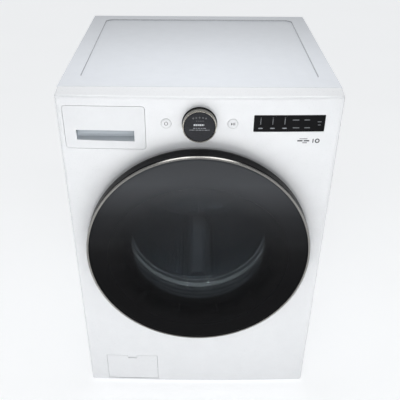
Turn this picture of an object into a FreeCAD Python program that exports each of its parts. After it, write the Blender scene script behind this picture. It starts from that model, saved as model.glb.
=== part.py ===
"""Front load washing machine, as an assembly of separate sub-parts.

The machine stands on its feet at Z = 0 and faces -Y. Depths are measured backwards from the
plane of the front panel; every sub-part is built about that plane, or about the drum's axis,
and its Placement then carries it to its own place. All sizes are cells of the sheet "size".
"""
import FreeCAD, Part
import math
import os
import re

import Sketcher

Vector = FreeCAD.Vector
Rotation = FreeCAD.Rotation

# name, millimetres (or degrees, or a count), what it is
SIZES = [
    ("cabinet_width", 686, "across the side walls"),
    ("cabinet_depth", 700, "front panel to rear panel"),
    ("cabinet_top", 990, "top plate above the floor"),
    ("front_y", -336, "the front panel's plane, so that the origin is under the middle"),
    ("sheet", 1.2, "steel sheet"),
    ("seam", 0.5, "gap between neighbouring covers"),
    ("panel_wall", 2.2, "front panel's wall"),
    ("panel_bottom", 18, "front panel's lower edge above the floor"),
    ("panel_return", 47, "how far the front panel wraps backwards"),
    ("panel_crown", 7, "how far the front panel curves back at its sides"),
    ("edge_round", 9, "front panel's side corners"),
    ("lip_drop", 8, "fall of the top lip from the seam to the front"),
    ("lip_round", 6, "front panel's top edge"),
    ("axis_height", 552, "drum and door centre above the floor"),
    ("door_radius", 301, "outside of the door"),
    ("door_gap", 3, "between the door and its seat"),
    ("door_rim", 46, "door's front rim ahead of the front panel"),
    ("door_dome", 4, "how far the door's cover bulges past its rim"),
    ("seat_depth", 6, "floor of the door's round seat"),
    ("porthole", 215, "radius of the opening in the front panel"),
    ("drawer_left", -328, "detergent drawer's opening"),
    ("drawer_right", -130, "detergent drawer's opening"),
    ("drawer_low", 848, "detergent drawer's opening"),
    ("drawer_high", 959, "detergent drawer's opening"),
    ("drawer_gap", 0.9, "between the drawer's front and its opening"),
    ("drawer_round", 8, "corners of the drawer's front"),
    ("pull_left", -299, "finger pocket in the drawer"),
    ("pull_right", -158, "finger pocket in the drawer"),
    ("pull_low", 868, "finger pocket in the drawer"),
    ("pull_high", 897, "finger pocket in the drawer"),
    ("control_height", 917, "dial and buttons above the floor"),
    ("dial_radius", 41, "outside of the dial"),
    ("dial_front", 21, "dial ahead of the front panel"),
    ("button_pitch", 80, "dial to button, centre to centre"),
    ("button_radius", 12, "power and start buttons"),
    ("display_left", 130, "touch display's window"),
    ("display_right", 302, "touch display's window"),
    ("display_low", 896, "touch display's window"),
    ("display_high", 939, "touch display's window"),
    ("hatch_left", -287, "filter hatch's opening"),
    ("hatch_right", -126, "filter hatch's opening"),
    ("hatch_low", 24, "filter hatch's opening"),
    ("hatch_high", 128, "filter hatch's opening"),
    ("hatch_pivot", 28.5, "filter hatch's hinge line above the floor"),
    ("hatch_pivot_depth", 5, "filter hatch's hinge line behind the panel's plane"),
    ("filter_x", -238, "filter and pump axis"),
    ("filter_z", 80, "filter and pump axis"),
    ("filter_inlet", 110, "depth of the filter chamber's inlet"),
    ("outlet_x", -295, "discharge outlet in the rear panel"),
    ("outlet_height", 800, "discharge outlet in the rear panel"),
    ("hinge_x", -296, "door hinge's pin"),
    ("hinge_front", -8, "door hinge's pin, ahead of the front panel's plane"),
    ("pin_radius", 3, "door hinge's pin"),
    ("drum_radius", 272, "outside of the drum"),
    ("drum_mouth", 191, "opening in the drum's front"),
    ("tub_radius", 300, "outside of the tub"),
    ("tub_wall", 3.5, "tub's moulded wall"),
    ("tub_front", 94, "tub's front wall"),
    ("tub_seam", 330, "joint between the tub's halves"),
    ("tub_back", 604, "tub's rear wall"),
    ("shaft_radius", 15, "drive shaft in its front bearing"),
    ("shaft_tail", 12.5, "drive shaft in its rear bearing"),
    ("running", 0.05, "radial clearance of a running fit"),
    ("rotor_radius", 150, "outside of the rotor"),
    ("foot_x", 300, "feet, either side of the middle"),
    ("foot_front", 90, "front feet's depth"),
    ("foot_back", 650, "rear feet's depth"),
    ("foot_stem", 5, "threaded stem of a foot"),
    ("base_floor", 18, "underside of the base pan"),
    ("base_wall", 40, "height of the base pan's rim"),
    ("sump_x", -140, "tub's outlet"),
    ("sump_depth", 470, "tub's outlet"),
    ("strut_x", 210, "dampers, either side of the middle"),
    ("strut_front", 230, "front dampers' depth"),
    ("strut_back", 480, "rear dampers' depth"),
    ("spring_x", 250, "suspension springs, either side of the middle"),
    ("spring_depth", 385, "suspension springs' depth"),
    ("emboss_side", 298, "pressed panel in the top plate, half its width"),
    ("emboss_front", 106, "pressed panel in the top plate"),
    ("emboss_back", 655, "pressed panel in the top plate"),
    ("emboss_drop", 3, "depth of the pressed panel"),
    ("fill_x", -285, "fill bellows between the dispenser and the tub"),
    ("fill_depth", 300, "fill bellows between the dispenser and the tub"),
    ("inlet_radius", 13.2, "threaded water inlet"),
    ("inlet_tip", 722, "end of the water inlets"),
    ("inlet_height", 905, "water inlets above the floor"),
    ("cover_radius", 205, "round service cover on the back"),
]
NAMES = {name for name, _, _ in SIZES}
FRONT = ("XZ_Plane", "Y")  # sketch plane facing front, and the axis it is drawn along
PLAN = ("XY_Plane", "Z")
SIDE = ("YZ_Plane", "X")

doc = FreeCAD.newDocument("washing_machine")
sheet = doc.addObject("Spreadsheet::Sheet", "size")
sub_parts = []


def fill_sheet():
    """Writes each driving dimension as a plain number with an alias."""
    for row, (name, number, meaning) in enumerate(SIZES, start=1):
        sheet.set("A%d" % row, name)
        sheet.set("B%d" % row, str(number))
        sheet.set("C%d" % row, meaning)
        sheet.setAlias("B%d" % row, name)
    doc.recompute()


def words(formula):
    """The formula as an expression, with each driving dimension read from the sheet."""
    return re.sub(r"[a-z_]+", lambda m: "size." + m[0] if m[0] in NAMES else m[0], str(formula))


def number(formula):
    """What a formula of driving dimensions comes to, in millimetres."""
    result = sheet.evalExpression(words(formula))
    return float(getattr(result, "Value", result))


def bind(item, prop, formula):
    """Ties a property of a document object to the sheet."""
    item.setExpression(prop, words(formula))


def place(item, x=0, depth=0, z=0):
    """Ties an object's Placement to the sheet."""
    for letter, formula in (("x", x), ("y", depth), ("z", z)):
        bind(item, "Placement.Base." + letter, formula)
    return item


def fresh(base):
    """An unused internal name."""
    return "%s_%d" % (base, len(doc.Objects))


# ---- sketches and bodies -------------------------------------------------------------------
def origin_plane(body, role):
    return [f for f in body.Origin.OriginFeatures if f.Role == role][0]


def drawn(body, role, outline):
    """A closed sketch on one of the body's own planes. A corner is (across, up), tied to the sheet;
    ("arc", across, up) before a corner makes the stretch to that corner an arc through that point."""
    sketch = body.newObject("Sketcher::SketchObject", fresh("outline"))
    sketch.AttachmentSupport = [(origin_plane(body, role), "")]
    sketch.MapMode = "FlatFace"
    corners = [p for p in outline if p[0] != "arc"]
    bulges, seen = {}, 0
    for p in outline:
        if p[0] == "arc":
            bulges[(seen - 1) % len(corners)] = p[1:]
        else:
            seen += 1

    def at(p):
        return Vector(number(p[0]), number(p[1]), 0)

    def hold(geo, pos, p):
        for kind, formula in (("DistanceX", p[0]), ("DistanceY", p[1])):
            index = sketch.addConstraint(Sketcher.Constraint(kind, -1, 1, geo, pos, number(formula)))
            bind(sketch, "Constraints[%d]" % index, formula)

    for i, corner in enumerate(corners):
        after = corners[(i + 1) % len(corners)]
        if i in bulges:
            sketch.addGeometry(Part.Arc(at(corner), at(bulges[i]), at(after)), False)
        else:
            sketch.addGeometry(Part.LineSegment(at(corner), at(after)), False)
    ends = []
    for i, corner in enumerate(corners):
        start = Vector(sketch.getPoint(i, 1))
        following = corners[(i + 1) % len(corners)]
        flipped = i in bulges and (start - at(corner)).Length > (start - at(following)).Length
        ends.append((2, 1) if flipped else (1, 2))
    for i, corner in enumerate(corners):
        following = (i + 1) % len(corners)
        joined = (i, ends[i][1], following, ends[following][0])
        sketch.addConstraint(Sketcher.Constraint("Coincident", *joined))
        hold(i, ends[i][0], corner)
    for i, middle in bulges.items():
        point = sketch.addGeometry(Part.Point(at(middle)), True)
        hold(point, 1, middle)
        sketch.addConstraint(Sketcher.Constraint("PointOnObject", point, 1, i))
    return sketch


def turned(outline, along="Y"):
    """A Body turned about its own Y or Z axis. The outline is given as (along the axis, radius)."""
    body = doc.addObject("PartDesign::Body", fresh("turned"))
    if along == "Z":
        outline = [("arc", p[2], p[1]) if p[0] == "arc" else (p[1], p[0]) for p in outline]
    sketch = drawn(body, "YZ_Plane" if along == "Y" else "XZ_Plane", outline)
    turn = body.newObject("PartDesign::Revolution", fresh("revolution"))
    turn.Profile = sketch
    turn.ReferenceAxis = (sketch, ["H_Axis" if along == "Y" else "V_Axis"])
    turn.Angle = 360
    sketch.Visibility = False
    return body


def prism(outline, facing, low, high):
    """A Body padded square to one of its planes, from low to high along that plane's normal axis."""
    role, axis = facing
    body = doc.addObject("PartDesign::Body", fresh("prism"))
    sketch = drawn(body, role, outline)
    pad = body.newObject("PartDesign::Pad", fresh("pad"))
    pad.Profile = sketch
    bind(pad, "Length", "(%s) - (%s)" % (high, low))
    bind(sketch, "AttachmentOffset.Base.z", "-(%s)" % high if axis == "Y" else low)
    return body


def rounded(body, chosen, radius, feature="Fillet"):
    """Adds a fillet or chamfer to the body's last feature on the edges that chosen() accepts."""
    doc.recompute()
    base = body.Tip
    picked = ["Edge%d" % (i + 1) for i, e in enumerate(base.Shape.Edges) if chosen(e)]
    if not picked:
        raise ValueError("no edge to round on " + body.Name)
    blend = body.newObject("PartDesign::" + feature, fresh("round"))
    blend.Base = (base, picked)
    bind(blend, "Radius" if feature == "Fillet" else "Size", radius)
    return body


def runs(axis, at_depth=None):
    """Chooses straight edges along an axis, optionally only those at one depth."""
    step = {"X": Vector(1, 0, 0), "Y": Vector(0, 1, 0), "Z": Vector(0, 0, 1)}[axis]

    def test(edge):
        if edge.Degenerated or edge.Curve.TypeId != "Part::GeomLine":
            return False
        if abs(edge.tangentAt(edge.FirstParameter) * step) < 0.999:
            return False
        return at_depth is None or abs(edge.CenterOfMass.y - number(at_depth)) < 0.01

    return test


def circles(*rings):
    """Chooses the circular edges that lie at (distance along Y, radius)."""
    wanted = [(number(d), number(r)) for d, r in rings]

    def test(edge):
        if edge.Degenerated or edge.Curve.TypeId != "Part::GeomCircle":
            return False
        centre, radius = edge.Curve.Center, edge.Curve.Radius
        return any(abs(centre.y - d) < 0.01 and abs(radius - r) < 0.01 for d, r in wanted)

    return test


# ---- primitives and booleans ---------------------------------------------------------------
def block(x, depth, z, soften=None, along="Y"):
    """A box from (low, high) pairs. With soften, its four edges along one axis are rounded."""
    if soften is None:
        box = doc.addObject("Part::Box", fresh("block"))
        for prop, (low, high) in (("Length", x), ("Width", depth), ("Height", z)):
            bind(box, prop, "(%s) - (%s)" % (high, low))
        return place(box, x[0], depth[0], z[0])
    corners = {
        "Y": ([(x[0], z[0]), (x[1], z[0]), (x[1], z[1]), (x[0], z[1])], FRONT, depth),
        "Z": ([(x[0], depth[0]), (x[1], depth[0]), (x[1], depth[1]), (x[0], depth[1])], PLAN, z),
        "X": ([(depth[0], z[0]), (depth[1], z[0]), (depth[1], z[1]), (depth[0], z[1])], SIDE, x),
    }[along]
    return rounded(prism(*corners[:2], *corners[2]), runs(along), soften)


def rod(radius, depth, x=0, z=0):
    """A cylinder along Y."""
    cylinder = doc.addObject("Part::Cylinder", fresh("rod"))
    bind(cylinder, "Radius", radius)
    bind(cylinder, "Height", "(%s) - (%s)" % (depth[1], depth[0]))
    cylinder.Placement = FreeCAD.Placement(Vector(), Rotation(Vector(1, 0, 0), -90))
    return place(cylinder, x, depth[0], z)


def post(radius, z, x=0, depth=0):
    """A cylinder along Z."""
    cylinder = doc.addObject("Part::Cylinder", fresh("post"))
    bind(cylinder, "Radius", radius)
    bind(cylinder, "Height", "(%s) - (%s)" % (z[1], z[0]))
    return place(cylinder, x, depth, z[0])


def bar(radius, x, depth=0, z=0):
    """A cylinder along X."""
    cylinder = doc.addObject("Part::Cylinder", fresh("bar"))
    bind(cylinder, "Radius", radius)
    bind(cylinder, "Height", "(%s) - (%s)" % (x[1], x[0]))
    cylinder.Placement = FreeCAD.Placement(Vector(), Rotation(Vector(0, 1, 0), 90))
    return place(cylinder, x[0], depth, z)


def fused(*items):
    if len(items) == 1:
        return items[0]
    union = doc.addObject("Part::MultiFuse", fresh("fuse"))
    union.Shapes = list(items)
    return union


def cut(base, *tools):
    difference = doc.addObject("Part::Cut", fresh("cut"))
    difference.Base = base
    difference.Tool = fused(*tools)
    return difference


def shared(*items):
    overlap = doc.addObject("Part::MultiCommon", fresh("common"))
    overlap.Shapes = list(items)
    return overlap


def grouped(*items):
    """Separate solids kept in one sub-part."""
    group = doc.addObject("Part::Compound", fresh("group"))
    group.Links = list(items)
    return group


def spun(item, angle):
    """A copy of an object turned about the drum's axis."""
    wedge = doc.addObject("Part::Compound", fresh("spun"))
    wedge.Links = [item]
    wedge.Placement = FreeCAD.Placement(Vector(), Rotation(Vector(0, 1, 0), angle))
    return wedge


def ring_of(item, count, start=0):
    """The object repeated round the drum's axis."""
    return [spun(item, start + 360.0 * i / count) for i in range(count)]


def tube(points, radius, bore=None):
    """A round rod or tube along straight runs joined by tangent arcs as large as the runs allow."""
    corners = [Vector(*[number(v) for v in p]) for p in points]
    edges, last = [], corners[0]
    for before, corner, after in zip(corners, corners[1:], corners[2:]):
        to_corner, onward = corner - before, after - corner
        turn = to_corner.getAngle(onward)
        back = 0.45 * min(to_corner.Length, onward.Length)
        inwards, outwards = to_corner.normalize(), onward.normalize()
        start, end = corner - inwards * back, corner + outwards * back
        bend = back / math.tan(turn / 2)
        reach = bend * (1 / math.cos(turn / 2) - 1)
        middle = corner + (outwards - inwards).normalize() * reach
        edges += [Part.LineSegment(last, start).toShape(), Part.Arc(start, middle, end).toShape()]
        last = end
    edges.append(Part.LineSegment(last, corners[-1]).toShape())
    path = Part.Wire(edges)
    first = edges[0].tangentAt(edges[0].FirstParameter)
    swept = []
    for size in (radius,) if bore is None else (radius, bore):
        section = Part.Wire([Part.Circle(corners[0], first, number(size)).toShape()])
        feature = doc.addObject("Part::Feature", fresh("tube"))
        feature.Shape = path.makePipeShell([section], True, True)
        swept.append(feature)
    return swept[0] if bore is None else cut(*swept)


def sub_part(name, item, x=0, depth=0, z=0):
    """Names an object as a finished sub-part and carries it to its place."""
    item.Label = name
    place(item, x, "front_y + (%s)" % depth, z)
    sub_parts.append(item)
    return item


# ---- covers --------------------------------------------------------------------------------
def panel_block(inset, back):
    """The front panel's outer form, or the same form moved inwards by a wall's thickness."""
    side = "(cabinet_width / 2 - (%s))" % inset
    body = prism(
        [
            ("-" + side, back),
            ("-" + side, "panel_crown + (%s)" % inset),
            ("arc", 0, inset),
            (side, "panel_crown + (%s)" % inset),
            (side, back),
        ],
        PLAN,
        "panel_bottom + (%s)" % inset,
        "cabinet_top - (%s)" % inset,
    )
    rounded(body, runs("Z", "panel_crown + (%s)" % inset), "edge_round - (%s)" % inset)
    slope = "lip_drop / panel_return"
    top = "cabinet_top - (%s)" % inset
    wedge = prism(
        [
            (-20, "%s - lip_drop - 20 * %s" % (top, slope)),
            (back, "%s - lip_drop + (%s) * %s" % (top, back, slope)),
            (back, "cabinet_top + 20"),
            (-20, "cabinet_top + 20"),
        ],
        SIDE,
        "-cabinet_width",
        "cabinet_width",
    )
    return cut(body, wedge)


def softened(item, chosen, radius):
    """A rounded copy of a boolean, on the edges that chosen() accepts."""
    doc.recompute()
    blend = doc.addObject("Part::Fillet", fresh("softened"))
    blend.Base = item
    size = number(radius)
    blend.Edges = [(i + 1, size, size) for i, e in enumerate(item.Shape.Edges) if chosen(e)]
    if not blend.Edges:
        raise ValueError("no edge to round on " + item.Name)
    return blend


def top_front_edge(edge):
    """The front panel's top edge, from one side round the front to the other."""
    middle = edge.CenterOfMass
    level = edge.BoundBox.ZMax - edge.BoundBox.ZMin
    on_top = middle.z > number("cabinet_top - lip_drop - 2")
    at_back = edge.BoundBox.YMin > number("panel_return - 1")
    return on_top and level < number("lip_drop + 2") and not at_back


def front_panel():
    """One-piece moulded front: crowned face, top lip, round door seat and all its openings."""
    outer = softened(panel_block(0, "panel_return"), top_front_edge, "lip_round")
    inner = softened(
        panel_block("panel_wall", "panel_return + 5"), top_front_edge, "lip_round - panel_wall"
    )
    centre = ("0", "axis_height")
    seat = rod("door_radius + door_gap + panel_wall", (-10, "seat_depth + panel_wall"), *centre)
    shell = cut(outer, cut(inner, seat))
    rim = cut(
        rod("porthole + panel_wall", ("seat_depth + 1", 24), *centre),
        rod("porthole", ("seat_depth - 1", 25), *centre),
    )
    through = (-10, "panel_return - 5")
    openings = [
        rod("door_radius + door_gap", (-10, "seat_depth"), *centre),
        rod("porthole", through, *centre),
        block(("drawer_left", "drawer_right"), through, ("drawer_low", "drawer_high"), "drawer_round"),
        rod("dial_radius - 2.4", through, 0, "control_height"),
        rod("button_radius + 0.6", through, "-button_pitch", "control_height"),
        rod("button_radius + 0.6", through, "button_pitch", "control_height"),
        block(("display_left", "display_right"), through, ("display_low", "display_high"), 2),
        block(("hatch_left", "hatch_right"), through, ("hatch_low", "hatch_high"), 2),
        block((-220, -191), through, ("hatch_high - 12", "hatch_high + 3"), 3),
        block((252, 266), through, ("axis_height - 24", "axis_height + 24"), 4),
    ]
    return cut(fused(shell, rim), *openings)


def top_plate():
    """Pressed steel lid with a shallow sunk panel and turned-down edges."""
    half, back = "cabinet_width / 2", "cabinet_depth + 0.4"
    front = "panel_return + seam"
    skirt = "cabinet_top - 20"
    outer = block(("-" + half, half), (front, back), (skirt, "cabinet_top"), 4, "Z")
    outer = rounded(outer, lambda e: e.CenterOfMass.z > number("cabinet_top - 0.01"), 2.5)
    inner = block(
        ("-%s + sheet" % half, "%s - sheet" % half),
        ("%s + sheet" % front, "%s - sheet" % back),
        (skirt + " - 1", "cabinet_top - sheet"),
        3,
        "Z",
    )
    inner = rounded(inner, lambda e: e.CenterOfMass.z > number("cabinet_top - sheet - 0.01"), 1.5)

    def sunk(low, high, grow):
        side = "emboss_side + (%s)" % grow
        depths = ("emboss_front - (%s)" % grow, "emboss_back + (%s)" % grow)
        return block(("-(%s)" % side, side), depths, (low, high), 24, "Z")

    def slope_at(level):
        return lambda e: abs(e.BoundBox.ZMax - number(level)) < 0.01 and e.BoundBox.ZLength < 0.01

    hollow = rounded(sunk("cabinet_top - emboss_drop", "cabinet_top + 3", 0),
                     slope_at("cabinet_top - emboss_drop"), 2.6)
    beneath = rounded(sunk("cabinet_top - emboss_drop - sheet", "cabinet_top - 0.2", "sheet"),
                      slope_at("cabinet_top - emboss_drop - sheet"), 2.6)
    plate = cut(fused(cut(outer, inner), beneath), hollow)
    notch = block(("-%s + 30" % half, "%s - 30" % half), (front + " - 1", front + " + sheet + 0.1"),
                  (skirt + " - 1", "cabinet_top - 9"))
    return cut(plate, notch)


def cabinet_wrap():
    """Side walls and rear flanges, folded from one sheet."""
    half = "cabinet_width / 2 - 1.5"
    span = ("panel_return + seam", "cabinet_depth - 1.4")
    tall = (20, "cabinet_top - 6")
    outer = block(("-(%s)" % half, half), span, tall)
    hollow = block(("-(%s) + sheet" % half, half + " - sheet"),
                   ("panel_return - 5", "cabinet_depth - 1.4 - sheet"), (15, "cabinet_top"))
    rear = block(("-(%s) + 28" % half, half + " - 28"), ("cabinet_depth - 20", "cabinet_depth + 5"),
                 (15, "cabinet_top"))
    left, right = ("-(%s) - 1" % half, "-(%s) + 0.5" % half), (half + " - 0.5", half + " + 1")
    creases = [
        block(across, (depth, depth + 26), (130, 880), 8, "X")
        for across in (left, right)
        for depth in (170, 560)
    ]
    corners = [
        block(("-(%s) - 1" % half, half + " + 1"), depth, ("cabinet_top - 20.5", "cabinet_top"))
        for depth in (("panel_return - 5", "panel_return + 5"), ("cabinet_depth - 5", "cabinet_depth + 5"))
    ]
    return cut(outer, hollow, rear, *creases, *corners)


def rear_panel():
    """Back cover with stiffening beads, a service hole and passages for water and power."""
    depth = ("cabinet_depth - 1.2", "cabinet_depth")
    sheet_metal = block((-338, 338), depth, (30, 968), 6)
    beads = [
        block((x - 9, x + 9), ("cabinet_depth - 0.2", "cabinet_depth + 2.4"), (z, z + 150), 8)
        for x in (-292, -250, 250, 292)
        for z in (120, 300, 560)
    ]
    holes = [
        rod("cover_radius - 14", ("cabinet_depth - 5", "cabinet_depth + 5"), 0, "axis_height"),
        rod("inlet_radius + 2", ("cabinet_depth - 5", "cabinet_depth + 5"), -270, "inlet_height"),
        rod("inlet_radius + 2", ("cabinet_depth - 5", "cabinet_depth + 5"), -215, "inlet_height"),
        rod(14, ("cabinet_depth - 5", "cabinet_depth + 5"), "outlet_x", "outlet_height"),
        rod(9, ("cabinet_depth - 5", "cabinet_depth + 5"), 290, 880),
    ]
    for x in (-150, 150):
        for z in (260, 800):
            holes.append(rod(13, ("cabinet_depth - 5", "cabinet_depth + 5"), x, z))
    return cut(fused(sheet_metal, *beads), *holes)


def rear_access_cover():
    """Round dished service cover over the motor."""
    dish = turned(
        [
            ("cabinet_depth + 0.3", 0),
            ("cabinet_depth + 0.3", 60),
            ("cabinet_depth + 5", 70),
            ("cabinet_depth + 5", 150),
            ("cabinet_depth + 0.3", 165),
            ("cabinet_depth + 0.3", "cover_radius"),
            ("cabinet_depth + 1.5", "cover_radius"),
            ("cabinet_depth + 1.5", 166),
            ("cabinet_depth + 6.2", 151),
            ("cabinet_depth + 6.2", 69),
            ("cabinet_depth + 1.5", 59),
            ("cabinet_depth + 1.5", 0),
        ]
    )
    slot = block((-3, 3), ("cabinet_depth - 5", "cabinet_depth + 12"), (85, 135), 2.9)
    return cut(dish, *ring_of(slot, 16))


def base_frame():
    """Pressed base pan that carries the feet, the dampers and the pump."""
    half = "cabinet_width / 2 - 4"
    low, high = "base_floor", "base_floor + base_wall"
    outer = block(("-(%s)" % half, half), (52, 694), (low, high), 12, "Z")
    across = ("-(%s) + 2" % half, half + " - 2")
    inner = block(across, (54, 692), ("base_floor + 2", "base_floor + 60"), 10, "Z")
    ribs = [block((x - 5, x + 5), (70, 670), ("base_floor + 1", "base_floor + 6"), 2, "X") for x in (-60, 60)]
    pan = fused(cut(outer, inner), *ribs)
    sockets, bores = [], []
    for x in ("-foot_x", "foot_x"):
        for depth in ("foot_front", "foot_back"):
            sockets.append(post(12, ("base_floor + 1", 40), x, depth))
            bores.append(post("foot_stem + running", (0, 60), x, depth))
    notch = block((-284, -128), (45, 60), ("base_floor + 3", 70))
    return cut(fused(pan, *sockets), *bores, notch)


def top_braces():
    """Three cross rails that tie the side walls together and hang the springs."""
    half = "cabinet_width / 2 - 4"
    rails = []
    for front, back, low in ((52, 84, 968), ("spring_depth - 16", "spring_depth + 16", 964), (655, 690, 968)):
        outer = block(("-(%s)" % half, half), (front, back), (low, 982))
        inner = block(("-cabinet_width", "cabinet_width"), ("%s + 1.5" % front, "%s - 1.5" % back),
                      ("%s - 1" % low, 980.5))
        rails.append(cut(outer, inner))
    slots = [block((x, x2), ("spring_depth - 4", "spring_depth + 4"), (975, 990))
             for x, x2 in (("spring_x - 12", "spring_x + 12"), ("-spring_x - 12", "-spring_x + 12"))]
    rails[1] = cut(rails[1], *slots)
    return grouped(*rails)


def covers():
    sub_part("front_panel", front_panel())
    sub_part("top_plate", top_plate())
    sub_part("cabinet_wrap", cabinet_wrap())
    sub_part("rear_panel", rear_panel())
    sub_part("rear_access_cover", rear_access_cover(), z="axis_height")
    sub_part("base_frame", base_frame())
    sub_part("top_braces", top_braces())


# ---- door ----------------------------------------------------------------------------------
def door_frame():
    """Black moulded rim of the door, open at the back, with a cut-out for the hinge."""
    rim = turned(
        [
            ("-door_rim + 3", "door_radius - 20"),
            ("-door_rim + 3", "door_radius - 3.4"),
            ("-door_rim + 9", "door_radius - 0.4"),
            (-9, "door_radius"),
            (2, "door_radius - 3"),
            (3.4, "door_radius - 6"),
            (3.4, "door_radius - 12"),
            (-0.5, "door_radius - 14"),
            (-6, "door_radius - 5"),
            ("-door_rim + 12", "door_radius - 4"),
            ("-door_rim + 6", "door_radius - 7"),
            ("-door_rim + 6", "door_radius - 20"),
        ]
    )
    hinge_bay = block((-310, -281), (-19, 8), (-46, 46))
    return cut(rim, hinge_bay)


def door_liner():
    """Inner face of the door, between the rim and the bowl, with the hinge and latch pads."""
    face = turned(
        [
            (-1.6, 184.5),
            (1.2, 187),
            (1.2, 262),
            (-1, 272),
            (-1, "door_radius - 15"),
            (-3, "door_radius - 15"),
            (-3.6, 271),
            (-1, 261),
            (-1, 206),
            (-1.6, 204.5),
        ]
    )
    ribs = ring_of(block((-1, 1), ("-door_rim + 10", -0.6), (207, 258)), 12, 15)
    webs = cut(fused(*ribs), block((-310, -235), (-60, -1.2), (-50, 50)))
    bay = block((-310, -283), (-19, 8), (-46, 46))
    slot = block((254.5, 263.5), (-19, 8), (-9.5, 9.5))
    return cut(fused(face, webs), bay, slot)


def door_glass():
    """Tinted cover, slightly domed, that fills the front of the door."""
    edge, rise = "(door_radius - 7)", "(door_dome + 1)"
    bulge = "(%s ^ 2 + %s ^ 2) / (2 * %s)" % (edge, rise, rise)
    ball = doc.addObject("Part::Sphere", fresh("ball"))
    bind(ball, "Radius", bulge)
    place(ball, 0, "-door_rim - door_dome + %s" % bulge, 0)
    disc = rod(edge, ("-door_rim - door_dome - 1", "-door_rim + 2.8"))
    return softened(shared(disc, ball), circles(("-door_rim + 1", edge)), 0.8)


def door_trim_ring():
    """Polished metal ring between the cover and the rim."""
    return turned(
        [
            ("-door_rim + 2.8", "door_radius - 6.8"),
            ("-door_rim - 0.4", "door_radius - 6.6"),
            ("-door_rim - 1.2", "door_radius - 5"),
            ("-door_rim - 0.6", "door_radius - 2.2"),
            ("-door_rim + 2.8", "door_radius - 0.6"),
        ]
    )


def door_bowl():
    """Clear glass bowl that reaches back into the drum's mouth."""
    bowl = turned(
        [
            (-6, 204),
            (-2, 204),
            (-2, 182),
            (20, 176),
            (78, 162),
            (96, 146),
            ("arc", 101, 75),
            (102, 0),
            (97, 0),
            ("arc", 96, 75),
            (91.5, 142),
            (75, 157),
            (18, 171.5),
            (-6, 178),
        ]
    )
    return rounded(bowl, circles((78, 162), (96, 146), (75, 157), (91.5, 142)), 6)


def hinge_arm():
    """Door side of the hinge: a knuckle on the pin and an arm into the door."""
    tall = ("axis_height - 30", "axis_height + 30")
    knuckle, bore = ("axis_height - 33", "axis_height + 33"), ("axis_height - 60", "axis_height + 60")
    arm = fused(
        post("pin_radius + 2.2", knuckle, "hinge_x", "hinge_front"),
        block(("hinge_x", -240), ("hinge_front - 5", "hinge_front - 1.5"), tall),
        block((-262, -240), (-30, "hinge_front - 2"), tall),
    )
    return cut(arm, post("pin_radius + running", bore, "hinge_x", "hinge_front"))


def door_hook():
    """Latch tongue that enters the door lock."""
    return fused(
        block((250, 268), (-20, -3.8), ("axis_height - 20", "axis_height + 20")),
        block((255, 263), (-4, 30), ("axis_height - 9", "axis_height + 9"), 3, "X"),
        block((255, 263), (20, 30), ("axis_height - 15", "axis_height + 5"), 2, "X"),
    )


def hinge_bracket():
    """Cabinet side of the hinge: a plate on the door seat, two ears and the pin."""
    seat = ("seat_depth - 2.5", "seat_depth - 0.02")
    ears = [
        fused(
            post("pin_radius + 2", (low, high), "hinge_x", "hinge_front"),
            block(("hinge_x - 3.5", "hinge_x + 5"), ("hinge_front", "seat_depth - 1"), (low, high)),
        )
        for low, high in (
            ("axis_height - 39", "axis_height - 34"),
            ("axis_height + 34", "axis_height + 39"),
        )
    ]
    plate = block(("hinge_x - 3.5", -236), seat, ("axis_height - 39", "axis_height + 39"))
    pin = post("pin_radius", ("axis_height - 41", "axis_height + 41"), "hinge_x", "hinge_front")
    heads = [rod(4, (2.1, "seat_depth - 2"), -246, "axis_height %s" % z) for z in ("+ 28", "- 28")]
    return fused(plate, *ears, pin, *heads)


def door_lock():
    """Lock body behind the front panel, with a slot for the hook."""
    tall = ("axis_height - 46", "axis_height + 46")
    body = block((236, 284), ("seat_depth + panel_wall + 0.2", 44), tall, 4)
    slot = block((253, 265), (0, 38), ("axis_height - 20", "axis_height + 20"))
    plug = block((250, 272), (43, 56), ("axis_height - 40", "axis_height - 22"))
    return fused(cut(body, slot), plug)


def door():
    for name, item in (
        ("door_frame", door_frame()),
        ("door_liner", door_liner()),
        ("door_glass", door_glass()),
        ("door_trim_ring", door_trim_ring()),
        ("door_bowl", door_bowl()),
    ):
        sub_part(name, item, z="axis_height")
    for name, item in (
        ("door_arm_and_hook", grouped(hinge_arm(), door_hook())),
        ("door_hinge_bracket", hinge_bracket()),
        ("door_lock", door_lock()),
    ):
        sub_part(name, item)


# ---- controls and drawer -------------------------------------------------------------------
def dial_screen():
    """Fixed round screen inside the dial, on its holder."""
    return turned(
        [
            ("-dial_front + 0.2", 0),
            ("arc", "-dial_front + 0.35", 18),
            ("-dial_front + 0.8", 35.8),
            ("-dial_front + 3.5", 35.8),
            ("-dial_front + 3.5", 33),
            (24, 33),
            (24, 30),
            ("-dial_front + 6", 30),
            ("-dial_front + 6", 0),
        ]
    )


def dial_ring():
    """Turning metal ring of the dial."""
    ring = turned(
        [
            ("-dial_front + 0.6", 36.2),
            ("-dial_front", 37.4),
            ("-dial_front", 38.8),
            ("-dial_front + 1.6", "dial_radius - 0.4"),
            ("-3.2", "dial_radius"),
            ("-3.2", 34),
            ("-dial_front + 4.5", 34),
            ("-dial_front + 4.5", 36.2),
        ]
    )
    return ring


def push_button():
    return turned(
        [
            ("arc", -1.15, 6),
            (-0.7, "button_radius - 0.8"),
            (-0.1, "button_radius"),
            (7, "button_radius"),
            (7, "button_radius - 1.5"),
            (3, "button_radius - 1.8"),
            (3, 4.6),
            (23, 4.6),
            (23, 0),
            (-1.2, 0),
        ]
    )


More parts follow.
